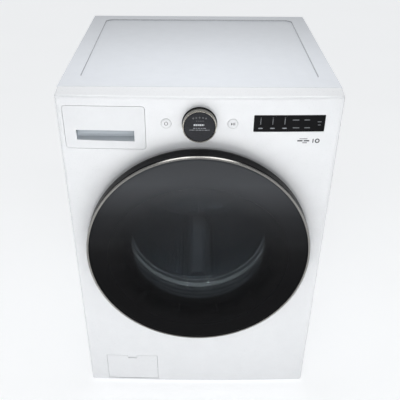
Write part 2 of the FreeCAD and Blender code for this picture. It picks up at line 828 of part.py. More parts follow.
def control_housing():
    """Moulded carrier behind the panel for the screen, buttons and display."""
    tray = cut(
        block((-124, 332), (11, 32), (864, 966), 5),
        block((-121.5, 329.5), (13.5, 40), (866.5, 963.5), 3),
    )
    collar = fused(
        rod("dial_radius - 2.6", (-2.6, 12), 0, "control_height"),
        rod("dial_radius + 1.4", (-2.6, -0.1), 0, "control_height"),
    )
    holes = [
        rod(33.4, (-10, 40), 0, "control_height"),
        rod(5.2, (0, 40), "-button_pitch", "control_height"),
        rod(5.2, (0, 40), "button_pitch", "control_height"),
        block((134, 298), (0, 20), (899, 936)),
    ]
    return cut(fused(tray, collar), *holes)


def display_board():
    """Display module on its board, and the board behind the dial and buttons."""
    module = fused(
        block((124, 308), (17.5, 19.1), (882, 954)),
        block((136, 296), (8.8, 18), (901, 934)),
    )
    chips = [block((x, x + 12), (19, 21.5), (886, 898)) for x in (140, 190, 250)]
    board = fused(
        block((-108, 108), (25.6, 27.2), (878, 956)),
        *[block((x - 4, x + 4), (24.6, 26), (913, 921)) for x in (-80, 80)],
        *[block((x, x + 14), (27, 30), (884, 898)) for x in (-60, -20, 40)],
    )
    return grouped(fused(module, *chips), board)


def display_glass():
    window = block(("display_left + 0.8", "display_right - 0.8"), (-6, 8.4),
                   ("display_low + 0.8", "display_high - 0.8"), 1.6)
    return shared(window, panel_block(0, "panel_return"))


def control_box():
    """Main electronics box with its lid and plugs."""
    case = block((168, 322), (430, 632), (893, 952), 6, "Z")
    lid = block((164, 326), (426, 636), (950, 958), 8, "Z")
    plugs = [block((x, x + 22), (420, 434), (905, 925)) for x in (185, 220, 255, 290)]
    fins = [block((180 + 14 * i, 184 + 14 * i), (440, 620), (884, 895)) for i in range(9)]
    return fused(case, lid, *plugs, *fins)


def drawer_front():
    """Drawer face with a scooped finger pocket."""
    gap = "drawer_gap"
    face = block(
        ("drawer_left + " + gap, "drawer_right - " + gap),
        (-6, 22),
        ("drawer_low + " + gap, "drawer_high - " + gap),
        "drawer_round - " + gap,
    )
    scoop = prism(
        [
            (-8, "pull_low - 1.5"),
            (0, "pull_low"),
            (16, "pull_low + 9"),
            (18.5, "pull_low + 14"),
            (18.5, "pull_high + 8"),
            (8.5, "pull_high + 8"),
            (8.5, "pull_high"),
            (-8, "pull_high"),
        ],
        SIDE,
        "pull_left",
        "pull_right",
    )
    rounded(scoop, lambda e: runs("Z")(e) and e.CenterOfMass.y > 10, 7)
    shaped = shared(face, panel_block(0, "panel_return"))
    return cut(shaped, scoop)


def drawer_tray():
    """Open tray with compartments for powder, liquid, softener and bleach."""
    low = "drawer_low + 2.6"
    outer = block((-321, -137), (22.2, 318), (low, 930), 5, "Z")
    cells = [
        block((-318.5, -232), (26, 200), (low + " + 2.5", 950), 4, "Z"),
        block((-318.5, -232), (203, 314), (low + " + 2.5", 950), 4, "Z"),
        block((-229.5, -139.5), (26, 130), (low + " + 2.5", 950), 4, "Z"),
        block((-229.5, -139.5), (133, 314), (low + " + 2.5", 950), 4, "Z"),
    ]
    slope = block((-325, -130), (200, 330), (905, 950))
    return cut(outer, *cells, slope)


def drawer_insert():
    """Two lift-out siphon caps in the softener and bleach cells."""
    caps = []
    for x, depth in ((-184.5, 78), (-184.5, 224)):
        caps.append(
            fused(
                block((x - 42, x + 42), (depth - 46, depth + 46), (893, 896), 5, "Z"),
                post(9, (862, 895), x, depth),
                block((x - 12, x + 12), (depth - 30, depth - 26), (895, 903)),
            )
        )
    return grouped(*caps)


def dispenser_housing():
    """Box that holds the drawer, with its runners, water cover and outlet."""
    box = cut(
        block((-331, -127), (10, 350), (845, 962), 3),
        block((-328.4, -129.6), (5, 347), (847.6, 959.4), 3),
    )
    runners = [block((x, x + 8), (26, 345), (847, "drawer_low + 2.2")) for x in (-317, -149)]
    outlet = cut(post(20, (822, 846), "fill_x", "fill_depth"), post(16, (820, 850), "fill_x", "fill_depth"))
    drain = post(16, (840, 850), "fill_x", "fill_depth")
    inlets = [rod(8, (349, 364), x, 935) for x in (-262, -222)]
    ribs = [block((x, x + 3), (40, 330), (961.4, 966)) for x in (-300, -260, -220, -180, -150)]
    return fused(cut(fused(box, *runners), drain), outlet, *inlets, *ribs)


def buttons_and_drawer():
    sub_part("control_housing", control_housing())
    sub_part("display_board", display_board())
    sub_part("display_glass", display_glass())
    sub_part("control_box", control_box())
    sub_part("dial_screen", dial_screen(), z="control_height")
    sub_part("dial_ring", dial_ring(), z="control_height")
    sub_part("power_button", push_button(), x="-button_pitch", depth=0.3, z="control_height")
    sub_part("start_button", push_button(), x="button_pitch", depth=0.3, z="control_height")
    sub_part("drawer_front", drawer_front())
    sub_part("drawer_tray", drawer_tray())
    sub_part("drawer_insert", drawer_insert())
    sub_part("dispenser_housing", dispenser_housing())


# ---- drum and drive ------------------------------------------------------------------------
def drum_shell():
    """Rolled stainless cylinder."""
    inside = "drum_radius - 1"
    return turned([(116.2, inside), (116.2, "drum_radius"), (560, "drum_radius"), (560, inside)])


def drum_front():
    """Pressed front ring with a rolled lip round the mouth."""
    return turned(
        [
            (114, "drum_mouth"),
            (107, "drum_mouth"),
            (104, "drum_mouth + 3"),
            (104, 262),
            (108, 270),
            (116, "drum_radius"),
            (116, "drum_radius - 1.2"),
            (109, 268.8),
            (105.3, 261.3),
            (105.3, "drum_mouth + 4"),
            (107.8, "drum_mouth + 1.3"),
            (114, "drum_mouth + 1.3"),
        ]
    )


def drum_back():
    """Pressed rear plate, dished forwards, with a raised hub and a ring bead."""
    return turned(
        [
            (400, 0),
            (400, 44),
            (405, 52),
            (407, 128),
            (416, 140),
            (538, 226),
            (556, 238),
            (560.2, 246),
            (557, 253),
            (557, 261),
            (560.2, 266),
            (560.2, "drum_radius"),
            (561.4, "drum_radius"),
            (561.4, 265.4),
            (558.2, 260.4),
            (558.2, 253.6),
            (561.4, 247),
            (561.4, 245),
            (557.2, 236.8),
            (539.2, 224.8),
            (417.2, 139.2),
            (408.4, 127.4),
            (406.4, 51),
            (401.4, 43),
            (401.4, 0),
        ]
    )


def lifter():
    """One hollow-looking paddle on the drum's wall, blunt at both ends."""
    outline = [(-46, -275), (46, -275), (30, -222), (17, -206), (-17, -206), (-30, -222)]
    section = prism(outline, FRONT, 128, 520)
    rounded(section, lambda e: runs("Y")(e) and e.CenterOfMass.z > -230, 12)
    length = prism([(130, -276), (518, -276), (492, -205), (156, -205)], SIDE, -60, 60)
    paddle = shared(section, length, rod("drum_radius - 1.1", (120, 540)))
    hollow = shared(
        prism([(-42, -280), (42, -280), (27, -224), (15, -209), (-15, -209), (-27, -224)], FRONT, 120, 530),
        prism([(136, -280), (512, -280), (487, -208), (161, -208)], SIDE, -60, 60),
    )
    return cut(paddle, hollow)


def spider():
    """Three-armed cast carrier behind the drum."""
    arm = prism([(-26, 20), (26, 20), (15, 262), (-15, 262)], FRONT, 562, 574)
    web = prism([(566, 30), (581, 30), (581, 70), (570, 262), (566, 262)], SIDE, -4, 4)
    hub = rod(40, (562, 581))
    star = fused(hub, *ring_of(fused(arm, web), 3))
    pads = ring_of(rod(20, (562, 570), 0, 248), 3)
    return cut(fused(star, *pads), rod("shaft_radius", (560, 600)))


def drive_shaft():
    """Stepped shaft, with the bolt that holds the rotor."""
    front, tail = "shaft_radius - running", "shaft_tail - running"
    shaft = turned(
        [
            (563, 0),
            (563, front),
            (631, front),
            (631, tail),
            (688, tail),
            (688, 0),
        ]
    )
    bolt = turned([(688.2, 0), (688.2, 20), (690, 20), (690, 11), (696, 11), (696, 0)])
    return grouped(shaft, bolt)


def rotor():
    """Outer rotor cup with magnets on its inside and cooling slots in its back."""
    wall = "rotor_radius"
    cup = turned(
        [
            (646, wall + " - 3"),
            (646, wall),
            (687.8, wall),
            (687.8, "shaft_tail"),
            (672, "shaft_tail"),
            (672, 36),
            (684, 44),
            (684, wall + " - 3"),
        ]
    )
    slots = ring_of(block((-9, 9), (680, 692), (62, 120), 8), 9)
    magnets = ring_of(block((-13, 13), (652, 680), (wall + " - 9", wall + " - 2.5")), 24)
    return fused(cut(cup, *slots), *magnets)


def drum_and_drive():
    for name, item in (
        ("drum_shell", drum_shell()),
        ("drum_front", drum_front()),
        ("drum_back", drum_back()),
        ("drum_lifters", grouped(*ring_of(lifter(), 3))),
        ("drum_spider", spider()),
        ("drive_shaft", drive_shaft()),
        ("rotor", rotor()),
    ):
        sub_part(name, item, z="axis_height")


# ---- tub and suspension --------------------------------------------------------------------
def tub_front():
    """Front half of the tub, with a collar for the door seal and hoop ribs."""
    inside = "tub_radius - tub_wall"
    outline = [
        (78, 203),
        (78, 206.5),
        ("tub_front", 206.5),
        ("tub_front", "tub_radius"),
    ]
    for rib in (150, 210, 270):
        crest = "tub_radius + 6"
        outline += [(rib, "tub_radius"), (rib, crest), (rib + 4, crest), (rib + 4, "tub_radius")]
    outline += [
        ("tub_seam - 12", "tub_radius"),
        ("tub_seam - 12", "tub_radius + 8"),
        ("tub_seam", "tub_radius + 8"),
        ("tub_seam", inside),
        ("tub_front + tub_wall", inside),
        ("tub_front + tub_wall", 203),
    ]
    return turned(outline)


def tub_rear():
    """Rear half of the tub with the bearing housing, ribs and mounting lugs."""
    inside = "tub_radius - tub_wall"
    outline = [
        ("tub_seam + 0.2", inside),
        ("tub_seam + 0.2", "tub_radius + 8"),
        ("tub_seam + 12", "tub_radius + 8"),
        ("tub_seam + 12", "tub_radius"),
    ]
    for rib in (400, 460, 520):
        crest = "tub_radius + 6"
        outline += [(rib, "tub_radius"), (rib, crest), (rib + 4, crest), (rib + 4, "tub_radius")]
    outline += [
        ("tub_back", "tub_radius"),
        ("tub_back", 62),
        (647, 46),
        (647, 26),
        (631, 26),
        (631, 22),
        (612, 22),
        (612, 36),
        (584, 36),
        (584, 52),
        ("tub_back - 6", 62),
        ("tub_back - 6", inside),
    ]
    cup = turned(outline)
    ribs = ring_of(block((-2, 2), ("tub_back - 1", "tub_back + 16"), (56, "tub_radius - 6")), 18)
    hoop = cut(rod(214, ("tub_back - 1", "tub_back + 12")), rod(210, ("tub_back - 2", "tub_back + 14")))
    lugs = []
    for x in ("-spring_x", "spring_x"):
        lugs.append(block((x + " - 12", x + " + 12"), ("spring_depth - 5", "spring_depth + 5"), (160, 238)))
    for x in ("-strut_x", "strut_x"):
        lugs.append(block((x + " - 10", x + " + 10"), ("strut_back - 10", "strut_back + 10"), (-244, -205)))
    hollow = rod("tub_radius - 2", (300, "tub_back - 2"))
    lugs = cut(fused(*lugs), hollow, *[rod(5, (300, 420), x, 226) for x in ("-spring_x", "spring_x")])
    sump = cut(post(26, (-296, -255), "sump_x", "sump_depth"), hollow)
    outlet = post(22, (-320, -240), "sump_x", "sump_depth")
    leads = [rod(4.2, ("tub_back - 10", "tub_back + 20"), x, -280) for x in (-34, 34)]
    return cut(fused(cup, lugs, sump, *ribs, hoop), outlet, *leads)


def counterweight(start, span):
    """Arched concrete weight on the tub's front."""
    weight = cut(rod(296, (58, 93.6)), rod(222, (50, 100)))
    half = span / 2
    reach = 400
    edge = (reach * math.sin(math.radians(half)), reach * math.cos(math.radians(half)))
    wedge = prism([(0, 0), (-edge[0], edge[1]), (-edge[0], reach), (edge[0], reach), edge], FRONT, 50, 100)
    arched = shared(weight, spun(wedge, start))
    holes = [spun(rod(8, (40, 110), 0, 262), start + a) for a in (-half + 12, 0, half - 12)]
    return cut(arched, *holes)


def tub_fasteners():
    """Bolts of the two weights, clamps round the tub's seam and the seal's band."""
    bolts = []
    for middle, half in ((0, 65), (180, 65)):
        for a in (-half + 12, 0, half - 12):
            bolts.append(spun(fused(rod(6, (54, 93.8), 0, 262), rod(13, (49, 57.8), 0, 262)), middle + a))
    clamp = block((-9, 9), ("tub_seam - 14", "tub_seam + 14"), ("tub_radius + 8.4", "tub_radius + 11"))
    clamps = ring_of(clamp, 16, 11.25)
    band = turned([(76, 210.8), (76, 212), (86, 212), (86, 210.8)])
    return grouped(*bolts, *clamps, band)


def bearings():
    """Front and rear ball bearings and the lip seal ahead of them."""
    def race(front, back, bore, outside):
        wall = "((%s) - (%s))" % (outside, bore)
        outer = turned([(front, outside), (front, "%s - 0.28 * %s" % (outside, wall)),
                        (back, "%s - 0.28 * %s" % (outside, wall)), (back, outside)])
        inner = turned([(front, bore), (front, "%s + 0.28 * %s" % (bore, wall)),
                        (back, "%s + 0.28 * %s" % (bore, wall)), (back, bore)])
        balls = []
        for i in range(9):
            angle = 2 * math.pi * i / 9
            pitch = (number(bore) + number(outside)) / 2
            ball = doc.addObject("Part::Sphere", fresh("ball"))
            ball.Radius = 0.21 * number(wall)
            ball.Placement.Base = Vector(pitch * math.sin(angle), (number(front) + number(back)) / 2,
                                         pitch * math.cos(angle))
            balls.append(ball)
        return [outer, inner, *balls]

    lip = "shaft_radius + 0.2"
    seal = turned([(585, lip), (585, 35.8), (592, 35.8), (592, 30), (587, 28), (587, lip)])
    return grouped(*race(593, 612, "shaft_radius", 36), *race(631, 646, "shaft_tail", 26), seal)


def stator():
    """Wound stator bolted to the tub's bearing housing."""
    core = cut(rod(112, (652, 672)), rod(92, (640, 690)))
    poles = ring_of(block((-4.5, 4.5), (653, 671), (110, 136)), 24)
    coils = ring_of(block((-8.5, 8.5), (650.5, 673.5), (114, 132), 3), 24)
    arms = ring_of(block((-10, 10), (652, 657), (46, 94)), 6)
    mount = cut(rod(52, (647.2, 657)), rod(30, (640, 690)))
    return fused(core, *poles, *coils, *arms, mount)


def heater():
    """Sheathed heating element lying in the tub's sump, with its rear terminals."""
    loop = [(34, 604, -280), (34, 330, -280), (0, 230, -283), (-34, 330, -280), (-34, 604, -280)]
    element = tube(loop, 3.6)
    flange = block((-52, 52), ("tub_back - 6.4", "tub_back - 6"), (-289, -273))
    terminals = [rod(4, ("tub_back + 0.1", "tub_back + 22"), x, -280) for x in (-34, 34)]
    return fused(element, *terminals)


def suspension_springs():
    """Pair of coil springs from the cross rail to the tub's lugs, with their end hooks."""
    coil = Part.Wire(Part.makeHelix(9.2, 115, 13).Edges)
    start = coil.Edges[0].valueAt(coil.Edges[0].FirstParameter)
    section = Part.Wire([Part.Circle(start, Vector(0, 1, 0), 1.9).toShape()])
    springs = []
    for x in ("-spring_x", "spring_x"):
        spring = doc.addObject("Part::Feature", fresh("spring"))
        spring.Shape = coil.makePipeShell([section], True, True)
        springs.append(place(spring, x, "spring_depth", 800))
        springs += [post(1.9, (low, high), x, "spring_depth") for low, high in ((790.4, 808), (908, 984))]
    return grouped(*springs)


def damper_cylinders():
    """Lower halves of the four friction dampers, on the base pan."""
    struts = []
    for x in ("-strut_x", "strut_x"):
        for depth in ("strut_front", "strut_back"):
            sleeve = cut(post(15, (40, 215), x, depth), post(11, (52, 230), x, depth))
            collar = cut(post(18, (190, 212), x, depth), post(11, (180, 230), x, depth))
            along = (depth + " - 14", depth + " + 14")
            foot = block((x + " - 9", x + " + 9"), along, ("base_floor + 2.05", 42))
            struts.append(fused(sleeve, collar, foot))
    return grouped(*struts)


def damper_rods():
    """Upper halves of the dampers, hung from the tub."""
    struts = []
    for x in ("-strut_x", "strut_x"):
        for depth, top in (("strut_front", 306), ("strut_back", 307.8)):
            rod_part = post(5, (100, top), x, depth)
            piston = post(10.6, (100, 124), x, depth)
            eye = block((x + " - 9", x + " + 9"), (depth + " - 9", depth + " + 9"), (285, top))
            struts.append(fused(rod_part, piston, eye))
    return grouped(*struts)


def tub_front_fittings():
    """Damper lugs and the fill nozzle, moulded on the tub's front half."""
    lugs = [block((x + " - 10", x + " + 10"), ("strut_front - 10", "strut_front + 10"), (-245.8, -205))
            for x in ("-strut_x", "strut_x")]
    nozzle = post(20, (88, 172), "fill_x", "fill_depth")
    return cut(fused(nozzle, *lugs), rod("tub_radius - 2", (90, 340)))


def tub_and_suspension():
    fill_bore = post(16, (20, 180), "fill_x", "fill_depth")
    sub_part("tub_front", cut(fused(tub_front(), tub_front_fittings()), fill_bore), z="axis_height")
    sub_part("tub_rear", tub_rear(), z="axis_height")
    sub_part("counterweights", grouped(counterweight(0, 130), counterweight(180, 130)), z="axis_height")
    sub_part("tub_fasteners", tub_fasteners(), z="axis_height")
    sub_part("bearings_and_seal", bearings(), z="axis_height")
    sub_part("stator", stator(), z="axis_height")
    sub_part("heater", heater(), z="axis_height")
    sub_part("suspension_springs", suspension_springs())
    sub_part("damper_cylinders", damper_cylinders())
    sub_part("damper_rods", damper_rods())


# ---- seal, water and drain -----------------------------------------------------------------
def gasket():
    """Rubber bellows between the front panel's rolled edge and the tub's collar."""
    return turned(
        [
            (6.4, 184),
            (2, 190),
            (1.6, 208),
            (4.5, 214.7),
            (24.3, 214.7),
            (24.9, 217.4),
            (24.9, 224),
            (34, 229.6),
            (55, 229.6),
            (59, 217.6),
            (70, 217.6),
            (72, 210.6),
            (90, 210.6),
            (90, 207),
            (68, 207),
            (66, 214),
            (56, 214),
            (52, 226),
            (35.5, 226),
            (28.2, 221.5),
            (28.2, 214),
            (24, 211),
            (14, 208),
            (9, 199),
            (15, 190),
            (14, 184),
        ]
    )


def gasket_wire():
    """Sprung wire that holds the seal's bead against the front panel."""
    wire = doc.addObject("Part::Torus", fresh("torus"))
    wire.Radius1 = 209
    wire.Radius2 = 1.3
    wire.Placement = FreeCAD.Placement(Vector(0, 9.6, 0), Rotation(Vector(1, 0, 0), 90))
    return grouped(wire)


def inlet_valves():
    """Hot and cold water valves with threaded inlets through the rear panel."""
    parts = [block((-296, -190), (650, 694), (888, 922), 4, "Z")]
    bores = []
    for x in (-270, -215):
        spigot = [(690, 0), (690, 17), (697, 17), (697, "inlet_radius"), ("inlet_tip - 1", "inlet_radius"),
                  ("inlet_tip", "inlet_radius - 1"), ("inlet_tip", 0)]
        parts += [
            turned_at(spigot, x, "inlet_height"),
            post(14, (920, 950), x, 672),
            rod(6.5, (636, 652), x, 905),
        ]
        bores.append(rod(9, (700, 730), x, "inlet_height"))
    return cut(fused(*parts), *bores)


def turned_at(outline, x, z):
    return place(turned(outline), x, 0, z)


def fill_bellows():
    """Rubber bellows from the dispenser down to the tub's fill nozzle."""
    outline = [(712, 20.4), (712, 23)]
    for i in range(12):
        outline += [(723 + 8 * i, 23), (727 + 8 * i, 26)]
    outline += [(823, 23), (838, 23), (838, 20.4)]
    return turned(outline, "Z")


def drain_pump():
    """Filter chamber, pump and motor on the base pan."""
    chamber = turned_at(
        [(32, 0), (32, 39), (37, 39), (37, 33), (150, 33), (150, 44), (182, 44), (182, 28), (208, 28),
         (208, 0)],
        "filter_x",
        "filter_z",
    )
    inlet = post(19, ("filter_z", 124), "filter_x", "filter_inlet")
    outlet = bar(9.5, ("filter_x - 50", "filter_x - 20"), 166, "filter_z + 26")
    nozzle = bar(4.5, ("filter_x", "filter_x + 25"), 60, 52)
    tall = ("base_floor + 2.05", "filter_z - 28")
    foot = block(("filter_x - 26", "filter_x + 24"), (60, 145), tall, 3, "Z")
    return cut(
        fused(chamber, inlet, outlet, nozzle, foot),
        post(16, ("filter_z", 150), "filter_x", "filter_inlet"),
        rod(28.4, (30, 158), "filter_x", "filter_z"),
    )


def filter_cap():
    """Screw-in lint filter: knob, grip and slotted basket."""
    knob = turned_at([(17, 0), (17, 30), (19, 32), (31.6, 32), (31.6, 27.6),
                      (130, 27.6), (130, 25.6), (36, 25.6), (36, 0)], "filter_x", "filter_z")
    grip = block(("filter_x - 27", "filter_x + 27"), (10, 20), ("filter_z - 4", "filter_z + 4"), 2.5)
    slots = [
        block(("filter_x - 40", "filter_x + 40"), (depth, depth + 9), ("filter_z - 9", "filter_z + 9"))
        for depth in (50, 68, 86, 104)
    ]
    window = block(("filter_x - 16", "filter_x + 16"), (92, 128), ("filter_z + 20", "filter_z + 40"))
    return cut(fused(knob, grip), *slots, window)


def filter_hatch():
    """Hinged hatch over the filter, with a finger notch in its top edge."""
    tall = ("hatch_low + 2.2", "hatch_high - 0.8")
    leaf = block(("hatch_left + 0.8", "hatch_right - 0.8"), (-6, 9), tall, 1.6)
    leaf = cut(shared(leaf, panel_block(0, "panel_return")), panel_block("panel_wall", "panel_return"))
    notch = block((-220, -191), (-10, 10), ("hatch_high - 12", "hatch_high + 5"), 3)
    frame = cut(
        block(("hatch_left + 8", "hatch_right - 8"), (-2, 8), ("hatch_low + 14", "hatch_high - 16")),
        block(("hatch_left + 11", "hatch_right - 11"), (-3, 9), ("hatch_low + 17", "hatch_high - 19")),
    )
    arms = []
    knuckles = []
    thick = ("hatch_pivot - 1.4", "hatch_pivot + 1.4")
    for x in (-232, -164):
        arms.append(block((x, x + 14), (1, "hatch_pivot_depth + 1"), thick))
        knuckles.append(bar(1.6, (x, x + 14), "hatch_pivot_depth", "hatch_pivot"))
    return fused(cut(leaf, notch), shared(fused(frame, *arms, *knuckles), panel_block(1, "panel_return")))


def sump_hose():
    """Hose from the tub's outlet down to the filter chamber."""
    return tube(
        [
            ("sump_x", "sump_depth", 255.5),
            ("sump_x", "sump_depth", 200),
            (-150, 210, 195),
            ("filter_x", "filter_inlet", 190),
            ("filter_x", "filter_inlet", 124.4),
        ],
        20,
        16,
    )


def hoses():
    """Feed hoses, discharge hose with its outlet elbow, and the plugged emergency drain tube."""
    feeds = [
        tube([(-270, 636, 905), (-270, 560, 905), (-262, 440, 935), (-262, 364, 935)], 6.5, 4.5),
        tube([(-215, 636, 905), (-215, 560, 905), (-222, 440, 935), (-222, 364, 935)], 6.5, 4.5),
    ]
    discharge = tube(
        [
            ("filter_x - 50.4", 166, "filter_z + 26"),
            (-318, 166, "filter_z + 26"),
            (-318, 640, "filter_z + 26"),
            ("outlet_x", 655, 200),
            ("outlet_x", 655, "outlet_height"),
            ("outlet_x", 692, "outlet_height"),
        ],
        9.5,
        7.5,
    )
    spout = turned_at([(692.4, 9.6), (692.4, 20), (696.8, 20), (696.8, 13), (716, 13), (716, 9.6)],
                      "outlet_x", "outlet_height")
    drain = tube([("filter_x + 25.4", 60, 52), (-176, 60, 52), (-160, 40, 52), (-160, 18, 52)], 5, 3.5)
    plug = rod(7.5, (12, 17.6), -160, 52)
    return grouped(*feeds, discharge, spout, drain, plug)


def cord_gland():
    """Strain relief bushing for the mains lead."""
    return turned([(694, 4.5), (694, 12), (698.4, 12), (698.4, 8.8), (700.6, 8.8), (700.6, 13), (710, 11),
                   (716, 7.5), (716, 4.5)])


def levelling_foot():
    """Rubber-soled foot with a hexagon and a threaded stem."""
    sole = turned([(0, 0), (0, 20), (1.5, 22), (8, 22), (9.5, 20), (9.5, "foot_stem"), (46, "foot_stem"),
                   (47.5, "foot_stem - 1.2"), (47.5, 0)], "Z")
    turns = [math.radians(60 * i) for i in range(6)]
    corners = [(11.5 * math.cos(turn), 11.5 * math.sin(turn)) for turn in turns]
    hexagon = prism(corners, PLAN, 8, 14)
    return fused(sole, hexagon)


def rear_fasteners():
    """Screws round the rear panel and caps in the transit holes."""
    screws = [
        rod(4.5, ("cabinet_depth + 0.02", "cabinet_depth + 2.2"), x, z)
        for x in (-331, 331)
        for z in (70, 220, 400, 560, 720, 940)
    ]
    heads = ("cabinet_depth + 1.52", "cabinet_depth + 3.6")
    ring = [spun(rod(4.5, heads, 0, 190), 30 + 60 * i) for i in range(6)]
    for screw in ring:
        place(screw, 0, 0, "axis_height")
    seat, top = "cabinet_depth + 0.1", "cabinet_depth + 3.2"
    outline = [(690, 0), (690, 12.6), (seat, 12.9), (seat, 18), ("cabinet_depth + 2.5", 16), (top, 12), (top, 0)]
    caps = []
    for x in (-150, 150):
        for z in (260, 800):
            caps.append(turned_at(outline, x, z))
    return grouped(*screws, *ring, *caps)


def water_and_drain():
    sub_part("gasket", gasket(), z="axis_height")
    sub_part("gasket_wire", gasket_wire(), z="axis_height")
    sub_part("inlet_valves", inlet_valves())
    sub_part("hoses", hoses())
    sub_part("fill_bellows", fill_bellows(), x="fill_x", depth="fill_depth")
    sub_part("drain_pump", drain_pump())
    sub_part("filter_cap", filter_cap())
    sub_part("filter_hatch", filter_hatch())
    sub_part("sump_hose", sump_hose())
    sub_part("cord_gland", cord_gland(), x=290, z=880)
    sub_part("rear_fasteners", rear_fasteners())
    for side, x in (("left", "-foot_x"), ("right", "foot_x")):
        for end, depth in (("front", "foot_front"), ("rear", "foot_back")):
            sub_part("foot_%s_%s" % (end, side), levelling_foot(), x=x, depth=depth)


# ---- checks and export ---------------------------------------------------------------------
def check():
    """Stops if any object failed to compute or any sub-part isn't a set of valid solids."""
    doc.recompute()
    for item in doc.Objects:
        if "Invalid" in item.State or "Error" in item.State:
            raise ValueError("%s (%s) failed: %s" % (item.Label, item.Name, item.State))
    for item in sub_parts:
        shape = item.Shape
        if shape.isNull() or not shape.isValid() or not shape.Solids:
            raise ValueError("sub-part %s has no valid solid" % item.Label)
        if min(solid.Volume for solid in shape.Solids) <= 0:
            raise ValueError("sub-part %s holds an inside-out solid" % item.Label)


def export():
    os.makedirs("parts", exist_ok=True)
    for item in sub_parts:
        item.Shape.exportStep("parts/%s.step" % item.Label)
    print(len(sub_parts), "sub-parts written")


fill_sheet()
covers()
door()
buttons_and_drawer()
drum_and_drive()
tub_and_suspension()
water_and_drain()
check()
export()
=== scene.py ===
import math

import bmesh
import bpy
from mathutils import Matrix, Vector


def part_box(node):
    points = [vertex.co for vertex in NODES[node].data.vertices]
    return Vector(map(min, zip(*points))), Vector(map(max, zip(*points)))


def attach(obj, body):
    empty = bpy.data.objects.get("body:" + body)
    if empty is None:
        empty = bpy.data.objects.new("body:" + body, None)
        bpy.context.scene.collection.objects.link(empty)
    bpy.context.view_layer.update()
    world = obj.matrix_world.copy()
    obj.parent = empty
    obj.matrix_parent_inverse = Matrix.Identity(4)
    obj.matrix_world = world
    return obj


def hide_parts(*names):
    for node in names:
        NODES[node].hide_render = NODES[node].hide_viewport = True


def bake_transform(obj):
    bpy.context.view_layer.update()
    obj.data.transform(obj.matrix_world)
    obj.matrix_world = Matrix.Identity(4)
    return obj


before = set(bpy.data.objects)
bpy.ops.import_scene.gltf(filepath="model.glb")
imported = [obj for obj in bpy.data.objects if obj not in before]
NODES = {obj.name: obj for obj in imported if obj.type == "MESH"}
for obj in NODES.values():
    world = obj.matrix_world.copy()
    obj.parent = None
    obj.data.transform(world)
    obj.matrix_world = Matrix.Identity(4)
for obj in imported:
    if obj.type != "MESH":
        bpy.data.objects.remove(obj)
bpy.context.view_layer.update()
TAU = 2 * math.pi

# ---- places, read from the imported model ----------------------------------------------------
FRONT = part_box("front_panel")[0].y
DOOR = (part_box("door_glass")[0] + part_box("door_glass")[1]) / 2
DRUM_Z = DOOR.z
DIAL = (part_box("dial_screen")[0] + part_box("dial_screen")[1]) / 2
DIAL_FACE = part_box("dial_screen")[0].y
HALF_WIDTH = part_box("front_panel")[1].x
CROWN = 0.007  # how far the front panel curves back at its sides
POCKET_SIDES = (-0.3, -0.157)  # the drawer's finger pocket, left and right
POCKET_ENDS = (0.8665, 0.907)  # and its bottom and top
LID_BORDER = 0.016  # lid left outside its pressed outline, at the sides
PALE_SKY = (0.97, 0.985, 1.0)


def crown(x):
    """Depth of the front panel's surface behind its middle, at a distance to one side."""
    return CROWN * (x / HALF_WIDTH) ** 2


def spot(x, depth, z):
    """A point given in millimetres, with depth measured backwards from the front panel."""
    return Vector((x / 1000, FRONT + depth / 1000, z / 1000))


# ---- material building blocks --------------------------------------------------------------
def node_of(tree, kind, **settings):
    """Adds a shader node. Settings named after an input set that input, others set the node."""
    node = tree.nodes.new(kind)
    for name, value in settings.items():
        label = name.replace("_", " ")
        if label in node.inputs:
            node.inputs[label].default_value = value
        else:
            setattr(node, name, value)
    return node


def link(tree, source, target):
    """Joins two sockets."""
    tree.links.new(source, target)


def arithmetic(tree, operation, *terms):
    """The result of a maths node; each term is a socket or a constant."""
    node = node_of(tree, "ShaderNodeMath", operation=operation)
    for socket, term in zip(node.inputs, terms):
        if isinstance(term, (int, float)):
            socket.default_value = term
        else:
            link(tree, term, socket)
    return node.outputs["Value"]


def separated(tree, vector):
    """The X, Y and Z sockets of a vector socket."""
    split = node_of(tree, "ShaderNodeSeparateXYZ")
    link(tree, vector, split.inputs["Vector"])
    return split.outputs


def distance_from_axis(tree, vector):
    """How far a position socket lies from the Y axis."""
    flat = node_of(tree, "ShaderNodeVectorMath", operation="MULTIPLY")
    flat.inputs[1].default_value = (1, 0, 1)
    link(tree, vector, flat.inputs[0])
    radius = node_of(tree, "ShaderNodeVectorMath", operation="LENGTH")
    link(tree, flat.outputs["Vector"], radius.inputs[0])
    return radius.outputs["Value"]


def place_about(tree, height):
    """Object coordinates, and the same measured from the axis at a height."""
    place = node_of(tree, "ShaderNodeTexCoord").outputs["Object"]
    centred = node_of(tree, "ShaderNodeVectorMath", operation="SUBTRACT")
    centred.inputs[1].default_value = (0, 0, height)
    link(tree, place, centred.inputs[0])
    return place, centred.outputs["Vector"]


def ranged(tree, source, low, high, to_low=0.0, to_high=1.0):
    """A value stretched from one range to another, and held inside it."""
    node = node_of(tree, "ShaderNodeMapRange")
    for label, value in (("From Min", low), ("From Max", high), ("To Min", to_low), ("To Max", to_high)):
        node.inputs[label].default_value = value
    link(tree, source, node.inputs["Value"])
    return node.outputs["Result"]


def blended(tree, factor, first, second):
    """Mixes two colours; each is a socket or a constant."""
    node = node_of(tree, "ShaderNodeMix", data_type="RGBA")
    link(tree, factor, node.inputs[0])
    for socket, colour in ((node.inputs[6], first), (node.inputs[7], second)):
        if isinstance(colour, tuple):
            socket.default_value = (*colour, 1)
        else:
            link(tree, colour, socket)
    return node.outputs[2]


